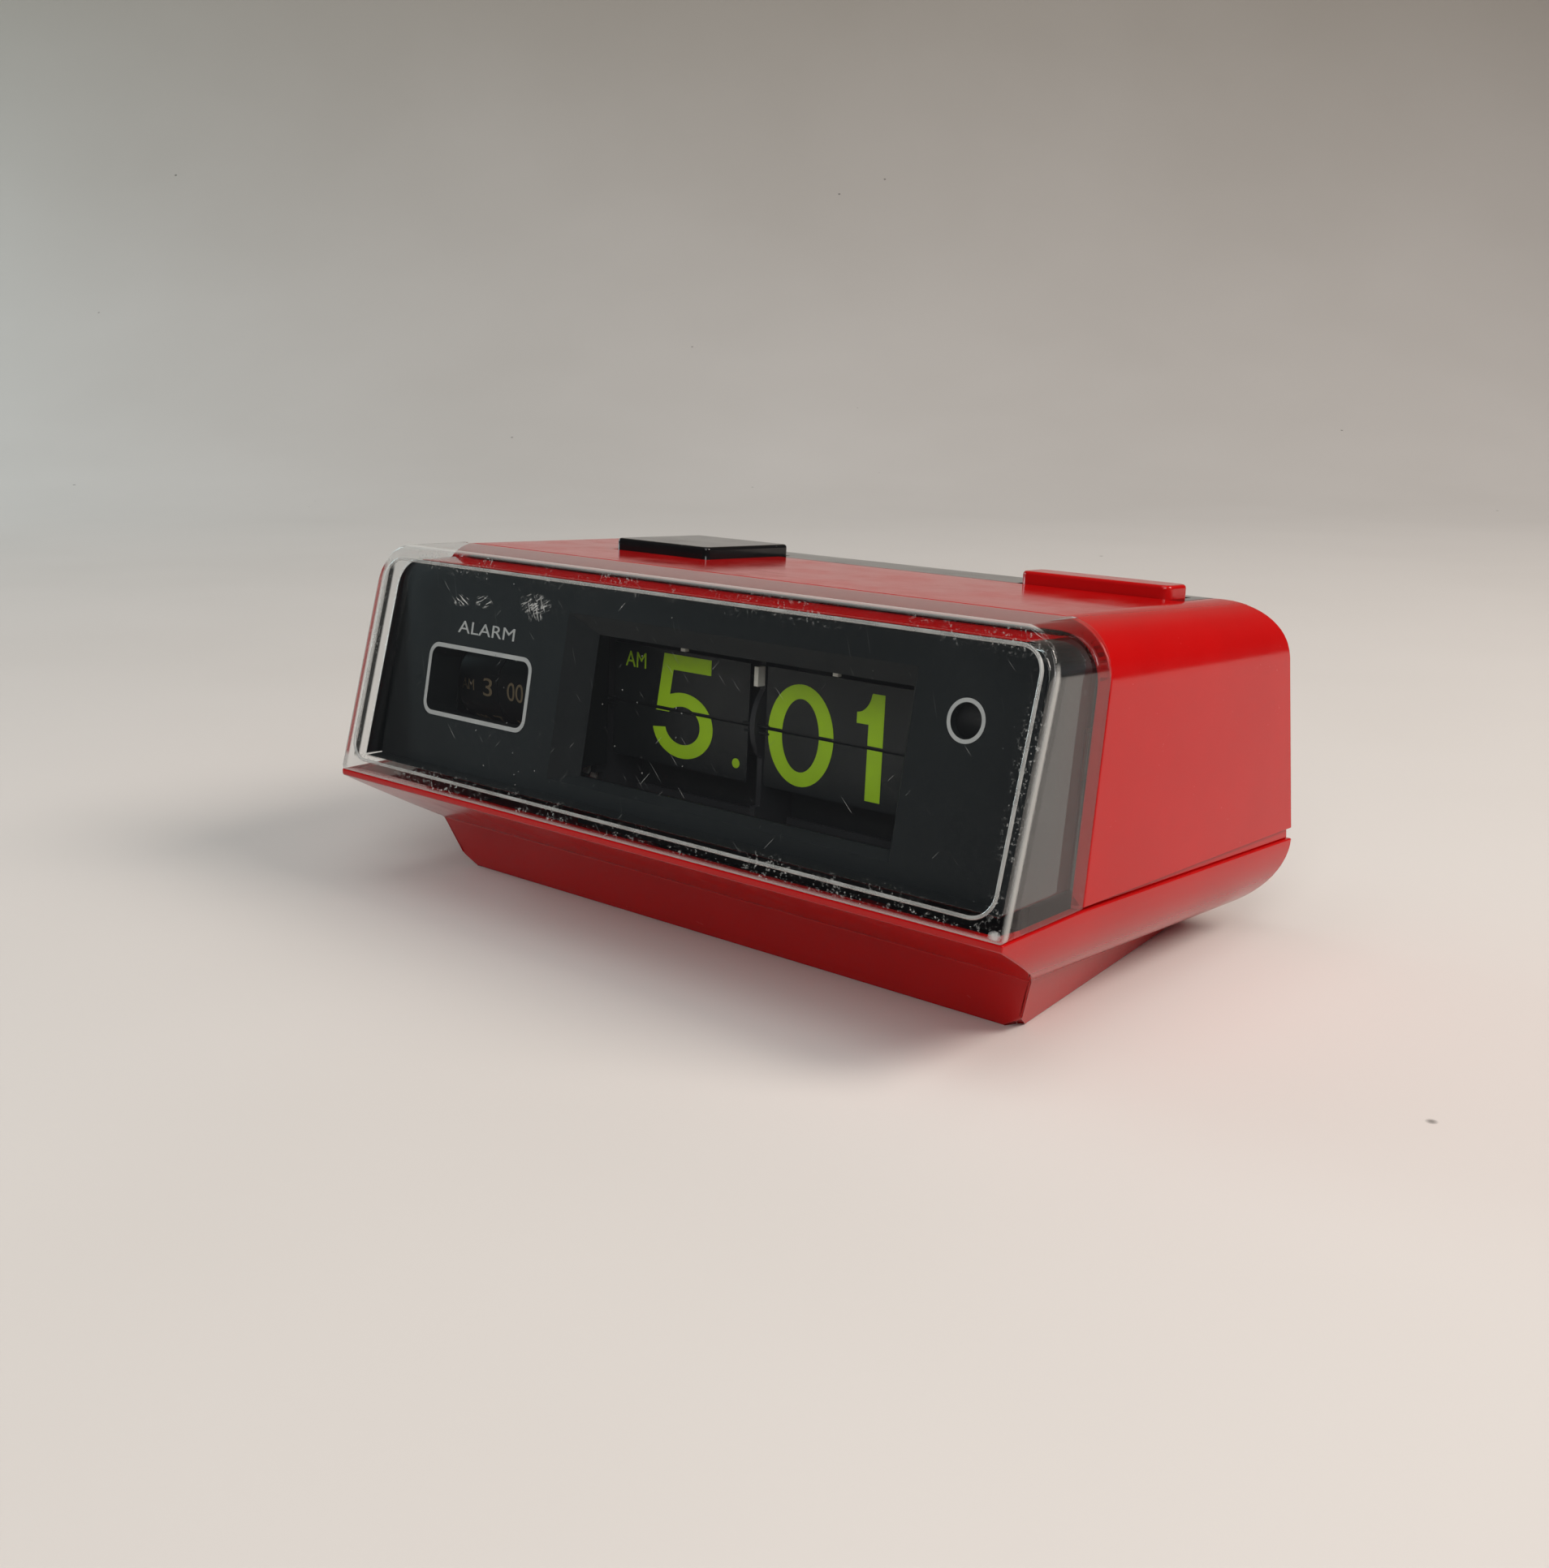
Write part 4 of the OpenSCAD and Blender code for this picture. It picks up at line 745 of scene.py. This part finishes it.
def figure_five():
    """Outline of the hour figure: bar, leaning stem and open bowl."""
    bowl, outer, inner = (-7.5, 18.2), (8.1, 6.5), (4.7, 3.8)
    loop = [(-12.9, 32.0), (-0.3, 32.0), (-0.3, 29.0), (-10.3, 29.0), (-11.1, 24.1)]
    loop += arc(bowl, outer, 112, -170, 48)
    loop += arc(bowl, inner, -168, 142, 44)
    loop += [(-14.7, 20.5)]
    return [loop]


def figure_nought():
    """Outline of the tens-of-minutes figure: a tall ring."""
    centre = (22.55, 20.8)
    return [arc(centre, (7.85, 9.6), 0, 352.5, 47), arc(centre, (4.45, 6.9), 0, 352.5, 47)]


def figure_one():
    """Outline of the minutes figure: a stem with a curved flag."""
    flag = arc((35.4, 31.6), (3.4, 4.4), -12, -88, 10)
    stem = [(41.6, 11.3), (41.6, 30.9), (38.9, 30.9)]
    return [stem + flag + [(35.5, 25.2), (38.2, 25.2), (38.2, 11.3)]]


def figure_six():
    """Outline of the bowl of the next hour's figure."""
    centre = (-7.3, 17.9)
    return [arc(centre, (7.7, 6.6), 0, 352.5, 47), arc(centre, (4.3, 3.9), 0, 352.5, 47)]


def figure_two():
    """Outline of the slant and the foot of the next minute's figure."""
    foot = [(33.6, 11.3), (43.4, 11.3), (43.4, 14.1), (38.1, 14.1)]
    return [foot + [(42.7, 21.3), (38.6, 21.3), (33.6, 13.5)]]


def colour(name, description, value):
    """Colour setting in the sidebar."""
    return bpy.props.FloatVectorProperty(
        name=name, description=description, subtype="COLOR", size=3, min=0.0, max=1.0, default=value
    )


def length(name, description, value):
    """Length setting in the sidebar, given in millimetres."""
    return bpy.props.FloatProperty(
        name=name,
        description=description,
        subtype="DISTANCE",
        unit="LENGTH",
        min=0.0,
        precision=5,
        default=value * MM,
    )


class ClockColours(bpy.types.PropertyGroup):
    """Colours of the clock's surfaces and of the studio."""

    case_red: colour("Case red", "Colour of the two shells and the bar button", srgb(172, 7, 8))
    dial: colour("Dial black", "Colour of the dial panel", srgb(12, 16, 17))
    gloss: colour("Gloss black", "Colour of the plate button and the top strip", srgb(16, 16, 17))
    print_grey: colour("Dial print", "Colour of the printing on the dial", srgb(176, 176, 174))
    # Also the colour of the painted highlights along the cover's edges and in its bead
    scuff_and_highlight_white: colour("Scuffs", "Colour of scuffs on the clear cover", srgb(196, 196, 192))
    figure_green: colour("Figures", "Colour of the figures on the cards", srgb(160, 200, 12))
    drum_tan: colour("Alarm figures", "Colour of the figures on the alarm drums", srgb(150, 132, 104))
    moulding: colour("Black plastic", "Colour of the rear panel and small black pieces", srgb(30, 30, 31))
    card: colour("Cards", "Colour of the card leaves", srgb(12, 15, 16))
    framing: colour("Movement frame", "Colour of the movement plates", srgb(38, 38, 40))
    white: colour("White plastic", "Colour of the catches and small wheels", srgb(222, 220, 210))
    steel: colour("Steel", "Colour of shafts, screws and contacts", srgb(190, 190, 188))
    brass: colour("Brass", "Colour of the arbors", srgb(205, 170, 96))
    copper: colour("Copper", "Colour of the coil wire", srgb(186, 100, 52))
    sleeve: colour("Cell sleeve", "Colour of the sleeve of the cell", srgb(190, 152, 62))
    board: colour("Board", "Colour of the circuit board", srgb(46, 92, 52))
    lamp: colour("Lamp", "Colour of the lamp bulb", srgb(232, 222, 190))
    floor: colour("Floor", "Colour of the floor", srgb(214, 209, 205))
    # The backdrop is darker than the floor as painted shade for the upright part getting less light
    wall: colour("Backdrop", "Colour of the upright part of the backdrop", srgb(147, 140, 131))


class ClockSizes(bpy.types.PropertyGroup):
    """Sizes of what is added over the solids."""

    shell_round: length("Shell edge", "Rounding of the edges of the red shells", 0.3)
    cover_round: length("Cover edge", "Rounding of the edges of the clear cover", 0.6)
    bead: length("Cover ridge", "Radius of the moulded bead round the cover's face", 0.35)
    button_round: length("Button edge", "Rounding of the edges of the buttons", 0.7)
    lining: length("Linings", "Thickness of the linings round the dial and the alarm window", 0.12)
    ink: length("Ink", "Thickness of the printing", 0.04)
    outline: length("Outline", "Width of the printed line round the alarm window", 0.9)
    ring: length("Ring", "Width of the printed ring round the small hole", 0.7)


class CLOCK_OT_finishes(bpy.types.Operator):
    """Makes every finish and gives each solid the one of its slot"""

    bl_idname = "clock.finishes"
    bl_label = "Finishes"

    def execute(self, context):
        colours = context.scene.clock_colours
        FINISHES.update(
            red_plastic=red_plastic(colours),
            clear_plastic=clear_plastic(colours),
            clear_ridge=clear_ridge(colours),
            dial_black=dial_black(colours),
            gloss_black=gloss_black(colours),
            black_plastic=moulded("grained black plastic", colours.moulding, 0.5, 1100.0),
            card_black=moulded("card black", colours.card, 0.46, 2200.0),
            frame_plastic=moulded("movement frame plastic", colours.framing, 0.55, 900.0),
            white_plastic=moulded("white plastic", colours.white, 0.42, 1500.0),
            steel=metal("bright steel", colours.steel, 0.26),
            brass=metal("turned brass", colours.brass, 0.28),
            copper=wound_copper(colours),
            cell_label=cell_label(colours),
            board_green=board_green(colours),
            lamp_glass=lamp_glass(colours),
            print_grey=printed("dial print", colours.print_grey),
            figure_green=printed("card figure ink", colours.figure_green, 0.1),
            drum_tan=printed("alarm figure ink", colours.drum_tan),
        )
        for node in frame["nodes"]:
            finish_node(node)
        return {"FINISHED"}


class CLOCK_OT_shells(bpy.types.Operator):
    """Rounds the edges of the red shells and the clear cover"""

    bl_idname = "clock.shells"
    bl_label = "Shells and cover"

    def execute(self, context):
        sizes = context.scene.clock_sizes
        softened("upper_case", "Upper shell", sizes.shell_round / MM)
        softened("lower_case", "Lower shell with foot", sizes.shell_round / MM, corners=foot_corners)
        softened("front_cover", "Clear cover", sizes.cover_round / MM)
        bead = sizes.bead / MM
        ridge = bead_mesh("Cover ridge", rounded_box(RIDGE, RIDGE_CORNER), bead)
        ridge.transform(COVER @ placed(0, -bead * 0.2, 0))
        add_piece("Cover ridge", ridge, "case", "clear_ridge")
        return {"FINISHED"}


class CLOCK_OT_buttons(bpy.types.Operator):
    """Rounds the edges of the two buttons on top"""

    bl_idname = "clock.buttons"
    bl_label = "Buttons"

    def execute(self, context):
        width = context.scene.clock_sizes.button_round / MM
        upright = {"corners": button_corners, "outer": True}
        softened("light_button", "Plate button", width, corner_radius=PLATE_CORNER, **upright)
        softened("alarm_bar", "Bar button", width, corner_radius=BAR_CORNER, **upright)
        return {"FINISHED"}


class CLOCK_OT_dial_print(bpy.types.Operator):
    """Prints the word and the line round the alarm window and the ring round the small hole"""

    bl_idname = "clock.dial_print"
    bl_label = "Dial printing"

    def execute(self, context):
        sizes = context.scene.clock_sizes
        ink = sizes.ink / MM
        line = sizes.outline / MM
        ring = sizes.ring / MM
        prints = {
            "Alarm word": word_mesh("ALARM", ALARM_WORD, ink),
            "Alarm window line": outline_mesh(
                "Alarm window line",
                [
                    rounded_box(grown(ALARM_WINDOW, line / 2), 2.9),
                    rounded_box(grown(ALARM_WINDOW, -line / 2), 2.0),
                ],
                ink,
            ),
            "Small hole ring": outline_mesh(
                "Small hole ring",
                [
                    arc(HOLE_MIDDLE, (HOLE_RING + ring / 2,) * 2, 0, 354, 59),
                    arc(HOLE_MIDDLE, (HOLE_RING - ring / 2,) * 2, 0, 354, 59),
                ],
                ink,
            ),
        }
        for name, mesh in prints.items():
            mesh.transform(DIAL @ placed(0, -ink / 2, 0))
            add_piece(name, mesh, "case", "print_grey")
        return {"FINISHED"}


class CLOCK_OT_dial_lining(bpy.types.Operator):
    """Lines the cover round the dial, and the walls of the alarm window and of the card box"""

    bl_idname = "clock.dial_lining"
    bl_label = "Dial linings"

    def execute(self, context):
        thick = context.scene.clock_sizes.lining / MM
        lean = tan(radians(COVER_LEAN))
        bend_middle = (LINING_HALF - LINING_BEND, LINING_TOP - LINING_BEND)
        path = [(LINING_HALF, LINING_LOW)] + arc(bend_middle, (LINING_BEND, LINING_BEND), 0, 78, 10)
        for name, side in (("Right dial lining", 1), ("Left dial lining", -1)):
            front = [(side * x, LINING_FRONT + u * lean, u) for x, u in path]
            rear = [(side * x, LINING_REAR + u * LINING_REAR_LEAN, u) for x, u in path]
            self.line(name, BODY, [front, rear], -thick * side)
        ledge = [
            [(x, y, LEDGE_UP + LEDGE_RISE * y) for x in (-LEDGE_HALF, LEDGE_HALF)]
            for y in LEDGE_DEPTHS
        ]
        self.line("Bottom dial lining", BODY, ledge, thick / 2)
        tongue = [[(x, y, TONGUE_UP) for x in (-TONGUE_HALF, TONGUE_HALF)] for y in TONGUE_DEPTHS]
        self.line("Upper tongue", BODY, tongue, thick / 2, "red_plastic")
        window = rounded_box(grown(ALARM_WINDOW, -WINDOW_INSET), WINDOW_CORNER)
        window.append(window[0])
        tunnel = [[(x, depth, z) for x, z in window] for depth in WINDOW_DEPTHS]
        self.line("Alarm window lining", DIAL, tunnel, thick)
        wall = [
            [(CARD_WALL_X, y, u) for y in (CARD_WALL_FRONT + u * CARD_WALL_LEAN, CARD_WALL_REAR)]
            for u in CARD_WALL_HEIGHTS
        ]
        self.line("Card box side", BODY, wall, thick)
        return {"FINISHED"}

    @staticmethod
    def line(name, place, rows, thick, finish="dial_black"):
        """Adds a thin sheet through rows of points in a local frame of the clock."""
        mesh = sheet_mesh(name, rows, thick)
        mesh.transform(place)
        add_piece(name, mesh, "case", finish)


class CLOCK_OT_card_figures(bpy.types.Operator):
    """Prints the figures on the standing and lower leaves, and the next ones on the leaves' backs"""

    bl_idname = "clock.card_figures"
    bl_label = "Card figures"

    def execute(self, context):
        ink = context.scene.clock_sizes.ink / MM
        dot = arc(HOUR_DOT, (HOUR_DOT_RADIUS, HOUR_DOT_RADIUS), 0, 345, 23)
        whole = {
            "Hour figure": (outline_mesh("Hour figure", figure_five(), ink), "hour_leaf"),
            "Minute tens": (outline_mesh("Minute tens", figure_nought(), ink), "minute_leaf"),
            "Minute units": (outline_mesh("Minute units", figure_one(), ink), "minute_leaf"),
        }
        single = {
            "Morning mark": (word_mesh("AM", MORNING_MARK, ink), "hour_leaf"),
            "Hour dot": (outline_mesh("Hour dot", [dot], ink), "case"),
        }
        halves = [(name, mesh, body) for name, (mesh, body) in single.items()]
        for name, (mesh, body) in whole.items():
            halves.append((name + " upper half", cut_mesh(mesh, CARD_SPLIT + 0.1, True), body))
            halves.append((name + " lower half", cut_mesh(mesh, CARD_SPLIT - LEAF_GAP, False), "case"))
        for name, mesh, body in halves:
            mesh.transform(BODY @ placed(0, CARD_FACE - ink / 2, 0))
            add_piece(name, mesh, body, "figure_green")
        backs = (
            ("Next hour", figure_six(), "hour_leaf"),
            ("Next minute tens", figure_nought(), "minute_leaf"),
            ("Next minute units", figure_two(), "minute_leaf"),
        )
        over = Matrix.Rotation(pi, 4, "X")
        fallen = placed(0, LEAF_AXIS, CARD_SPLIT) @ over @ placed(0, 0, -CARD_SPLIT)
        for name, loops, body in backs:
            mesh = cut_mesh(outline_mesh(name, loops, ink), CARD_SPLIT - LEAF_GAP, False)
            mesh.transform(BODY @ fallen @ placed(0, LEAF_AXIS - CARD_FACE - CARD_THICK - ink / 2, 0))
            add_piece(name + " lower half", mesh, body, "figure_green")
        return {"FINISHED"}


class CLOCK_OT_alarm_figures(bpy.types.Operator):
    """Prints the figures round the two alarm drums"""

    bl_idname = "clock.alarm_figures"
    bl_label = "Alarm drum figures"

    def execute(self, context):
        ink = context.scene.clock_sizes.ink / MM
        hours = (("AM", "3"), ("AM", "7"), ("AM", "11"), ("PM", "3"), ("PM", "7"), ("PM", "11"))
        minutes = ("00", "10", "20", "30", "40", "50")
        for step, ((half, hour), minute) in enumerate(zip(hours, minutes)):
            left = -69.0 if len(hour) > 1 else -67.6
            marks = (
                ("Alarm half-day", half, (-74.6, -70.6, -1.2, 1.2), "alarm_hour"),
                ("Alarm hour", hour, (left, -64.6, -2.0, 2.0), "alarm_hour"),
                ("Alarm minute", minute, (-59.6, -54.5, -2.0, 2.0), "alarm_minute"),
            )
            for name, word, box, body in marks:
                mesh = wrapped(word_mesh(word, box, ink), DRUM_RADIUS + ink / 2)
                mesh.transform(DRUMS @ Matrix.Rotation(step * pi / 3, 4, "X"))
                add_piece(f"{name} {step + 1}", mesh, body, "drum_tan")
        return {"FINISHED"}


class CLOCK_OT_rear(bpy.types.Operator):
    """Rounds the rear panel and the battery door, and adds the finger ridges of the door"""

    bl_idname = "clock.rear"
    bl_label = "Rear panel"

    def execute(self, context):
        softened("rear_panel", "Rear panel", PANEL_ROUND, 2, outer=True)
        softened("battery_door", "Battery door", DOOR_ROUND, 2, outer=True)
        ridges = bmesh.new()
        for step in range(DOOR_RIDGES):
            up = DOOR_RIDGE_FIRST + step * DOOR_RIDGE_STEP
            bar = bmesh.ops.create_cube(ridges, size=1.0)["verts"]
            bmesh.ops.scale(ridges, verts=bar, vec=Vector(DOOR_RIDGE) * MM)
            bmesh.ops.translate(ridges, verts=bar, vec=Vector((0.0, 0.1, up)) * MM)
        bmesh.ops.bevel(
            ridges,
            geom=ridges.edges[:],
            affect="EDGES",
            offset=DOOR_RIDGE_ROUND * MM,
            offset_type="OFFSET",
            segments=2,
            profile=0.5,
            material=-1,
        )
        mesh = bpy.data.meshes.new("Door ridges")
        ridges.transform(REAR)
        ridges.to_mesh(mesh)
        ridges.free()
        add_piece("Door ridges", mesh, "battery_door", "black_plastic")
        return {"FINISHED"}


# Camera and studio, in the floor frame and in metres
CAMERA_PLACE = Vector((0.22344, -0.26546, 0.11755))
CAMERA_AIM = Vector((-0.63213, 0.73137, -0.25593))
CAMERA_LENS = 39.89
SENSOR_HEIGHT = 36.0
VIEW_TURN = radians(40.84)
# Paper sweep: near end, start and radius of the bend, top and half width
SWEEP_NEAR, SWEEP_BEND, SWEEP_RADIUS, SWEEP_TOP, SWEEP_HALF = -4.0, 0.75, 0.7, 2.6, 4.0
SWEEP_STEPS = 16
# Lights: name, place, aim, size, power and tint
LIGHTS = (
    ("Key light", (0.95, 0.45, 0.95), (0.0, 0.0, 0.03), 0.55, 16.0, (1.0, 0.91, 0.84)),
    ("High light", (0.15, -0.35, 1.7), (0.0, 0.0, 0.0), 1.4, 10.5, (1.0, 0.99, 0.97)),
    ("Front light", (0.75, -1.15, 0.95), (0.0, -0.05, 0.03), 0.8, 11.0, (1.0, 0.99, 0.98)),
    ("Cool side light", (-1.9, -0.2, 0.5), (-0.5, 0.45, 0.0), 0.8, 13.0, (0.72, 0.94, 1.0)),
)
AIR_TINT = (0.92, 0.95, 1.0, 1.0)
AIR_STRENGTH = 0.10


def studio_paper(colours):
    """Pale paper sweep with faint clouding and a few specks; the colour turns darker up the wall as
    painted shade, standing in for the upright part getting less light.
    """
    finish = Finish("studio paper")
    cloud = finish.noise(3.0, 3.0)
    # Painted shade: the paper turns towards the darker backdrop colour with height
    painted_wall_shade = finish.ramp(finish.axis("Z") + cloud * 0.1, 0.05, 0.55)
    near = finish.ramp(finish.cells(14.0), 0.012, 0.020, 1.0, 0.0) * (finish.noise(5.0) > 0.47)
    crumbs = finish.ramp(finish.cells(46.0), 0.035, 0.06, 1.0, 0.0) * (finish.noise(11.0) > 0.64)
    shade = finish.mix(painted_wall_shade, shaded(colours.floor, 1.0), shaded(colours.wall, 1.0))
    shade = finish.mix(cloud * 0.3, shade, shaded(colours.wall, 1.1))
    shade = finish.mix((near.most(crumbs)) * 0.75, shade, shaded(colours.wall, 0.25))
    rough = finish.ramp(cloud, 0.3, 0.7, 0.55, 0.7)
    return finish.close(finish.shade(Base_Color=shade, Roughness=rough))


def paper_sweep(colours):
    """Floor that curves up into a backdrop, square to the camera's view."""
    profile = [(SWEEP_NEAR, 0.0), (SWEEP_BEND, 0.0)]
    for step in range(1, SWEEP_STEPS + 1):
        turn = pi / 2 * step / SWEEP_STEPS
        profile.append((SWEEP_BEND + SWEEP_RADIUS * sin(turn), SWEEP_RADIUS * (1 - cos(turn))))
    profile.append((SWEEP_BEND + SWEEP_RADIUS, SWEEP_TOP))
    sheet = bmesh.new()
    rim = [sheet.verts.new((-SWEEP_HALF, y, z)) for y, z in profile]
    edges = [sheet.edges.new(pair) for pair in zip(rim, rim[1:])]
    drawn = bmesh.ops.extrude_edge_only(sheet, edges=edges)["geom"]
    moved = [item for item in drawn if isinstance(item, bmesh.types.BMVert)]
    bmesh.ops.translate(sheet, verts=moved, vec=(2 * SWEEP_HALF, 0.0, 0.0))
    bmesh.ops.recalc_face_normals(sheet, faces=sheet.faces)
    mesh = bpy.data.meshes.new("Paper sweep")
    sheet.to_mesh(mesh)
    sheet.free()
    mesh.shade_smooth()
    mesh.transform(Matrix.Rotation(VIEW_TURN, 4, "Z"))
    mesh.materials.append(studio_paper(colours))
    paper = bpy.data.objects.new("Paper sweep", mesh)
    bpy.context.scene.collection.objects.link(paper)


def soft_light(name, place, aim, size, power, tint):
    """Square soft box at a place, aimed at a point."""
    light = bpy.data.lights.new(name, "AREA")
    light.size = size
    light.energy = power
    light.color = tint
    holder = bpy.data.objects.new(name, light)
    holder.location = place
    holder.rotation_euler = (Vector(aim) - Vector(place)).to_track_quat("-Z", "Y").to_euler()
    bpy.context.scene.collection.objects.link(holder)


def studio_air(colours):
    """Faint cool fill light that the camera sees as the tone of the backdrop."""
    world = bpy.data.worlds.new("Studio air")
    world.use_nodes = True
    nodes, links = world.node_tree.nodes, world.node_tree.links
    fill = nodes["Background"]
    fill.inputs["Color"].default_value = AIR_TINT
    fill.inputs["Strength"].default_value = AIR_STRENGTH
    seen = nodes.new("ShaderNodeBackground")
    seen.inputs["Color"].default_value = shaded(colours.wall, 1.0)
    path = nodes.new("ShaderNodeLightPath")
    both = nodes.new("ShaderNodeMixShader")
    links.new(path.outputs["Is Camera Ray"], both.inputs[0])
    links.new(fill.outputs[0], both.inputs[1])
    links.new(seen.outputs[0], both.inputs[2])
    links.new(both.outputs[0], nodes["World Output"].inputs["Surface"])
    return world


class CLOCK_OT_studio(bpy.types.Operator):
    """Sets up the paper sweep, the lights and the camera"""

    bl_idname = "clock.studio"
    bl_label = "Studio"

    def execute(self, context):
        scene = context.scene
        paper_sweep(scene.clock_colours)
        for light in LIGHTS:
            soft_light(*light)
        scene.world = studio_air(scene.clock_colours)
        lens = bpy.data.cameras.new("Photo view")
        lens.sensor_fit = "VERTICAL"
        lens.sensor_height = SENSOR_HEIGHT
        lens.lens = CAMERA_LENS
        lens.clip_start = 0.01
        camera = bpy.data.objects.new("Photo view", lens)
        camera.location = CAMERA_PLACE
        camera.rotation_euler = CAMERA_AIM.to_track_quat("-Z", "Y").to_euler()
        scene.collection.objects.link(camera)
        scene.camera = camera
        scene.view_settings.view_transform = "Standard"
        return {"FINISHED"}


class CLOCK_PT_pieces(bpy.types.Panel):
    """Sidebar list of the clock's pieces and settings"""

    bl_idname = "CLOCK_PT_pieces"
    bl_label = "Clock"
    bl_space_type = "VIEW_3D"
    bl_region_type = "UI"
    bl_category = "Clock"

    def draw(self, context):
        for step in STEPS:
            self.layout.operator(step.bl_idname)
        for group in (context.scene.clock_sizes, context.scene.clock_colours):
            for name in group.bl_rna.properties.keys():
                if name not in ("rna_type", "name"):
                    self.layout.prop(group, name)


STEPS = (
    CLOCK_OT_finishes,
    CLOCK_OT_shells,
    CLOCK_OT_buttons,
    CLOCK_OT_dial_print,
    CLOCK_OT_dial_lining,
    CLOCK_OT_card_figures,
    CLOCK_OT_alarm_figures,
    CLOCK_OT_rear,
    CLOCK_OT_studio,
)
CLASSES = (ClockColours, ClockSizes, *STEPS, CLOCK_PT_pieces)


def register():
    for item in CLASSES:
        bpy.utils.register_class(item)
    bpy.types.Scene.clock_colours = bpy.props.PointerProperty(type=ClockColours)
    bpy.types.Scene.clock_sizes = bpy.props.PointerProperty(type=ClockSizes)


def unregister():
    del bpy.types.Scene.clock_sizes
    del bpy.types.Scene.clock_colours
    for item in reversed(CLASSES):
        bpy.utils.unregister_class(item)


def main():
    """Builds every piece in order."""
    register()
    for step in STEPS:
        group, action = step.bl_idname.split(".")
        getattr(getattr(bpy.ops, group), action)()


if __name__ == "__main__":
    main()
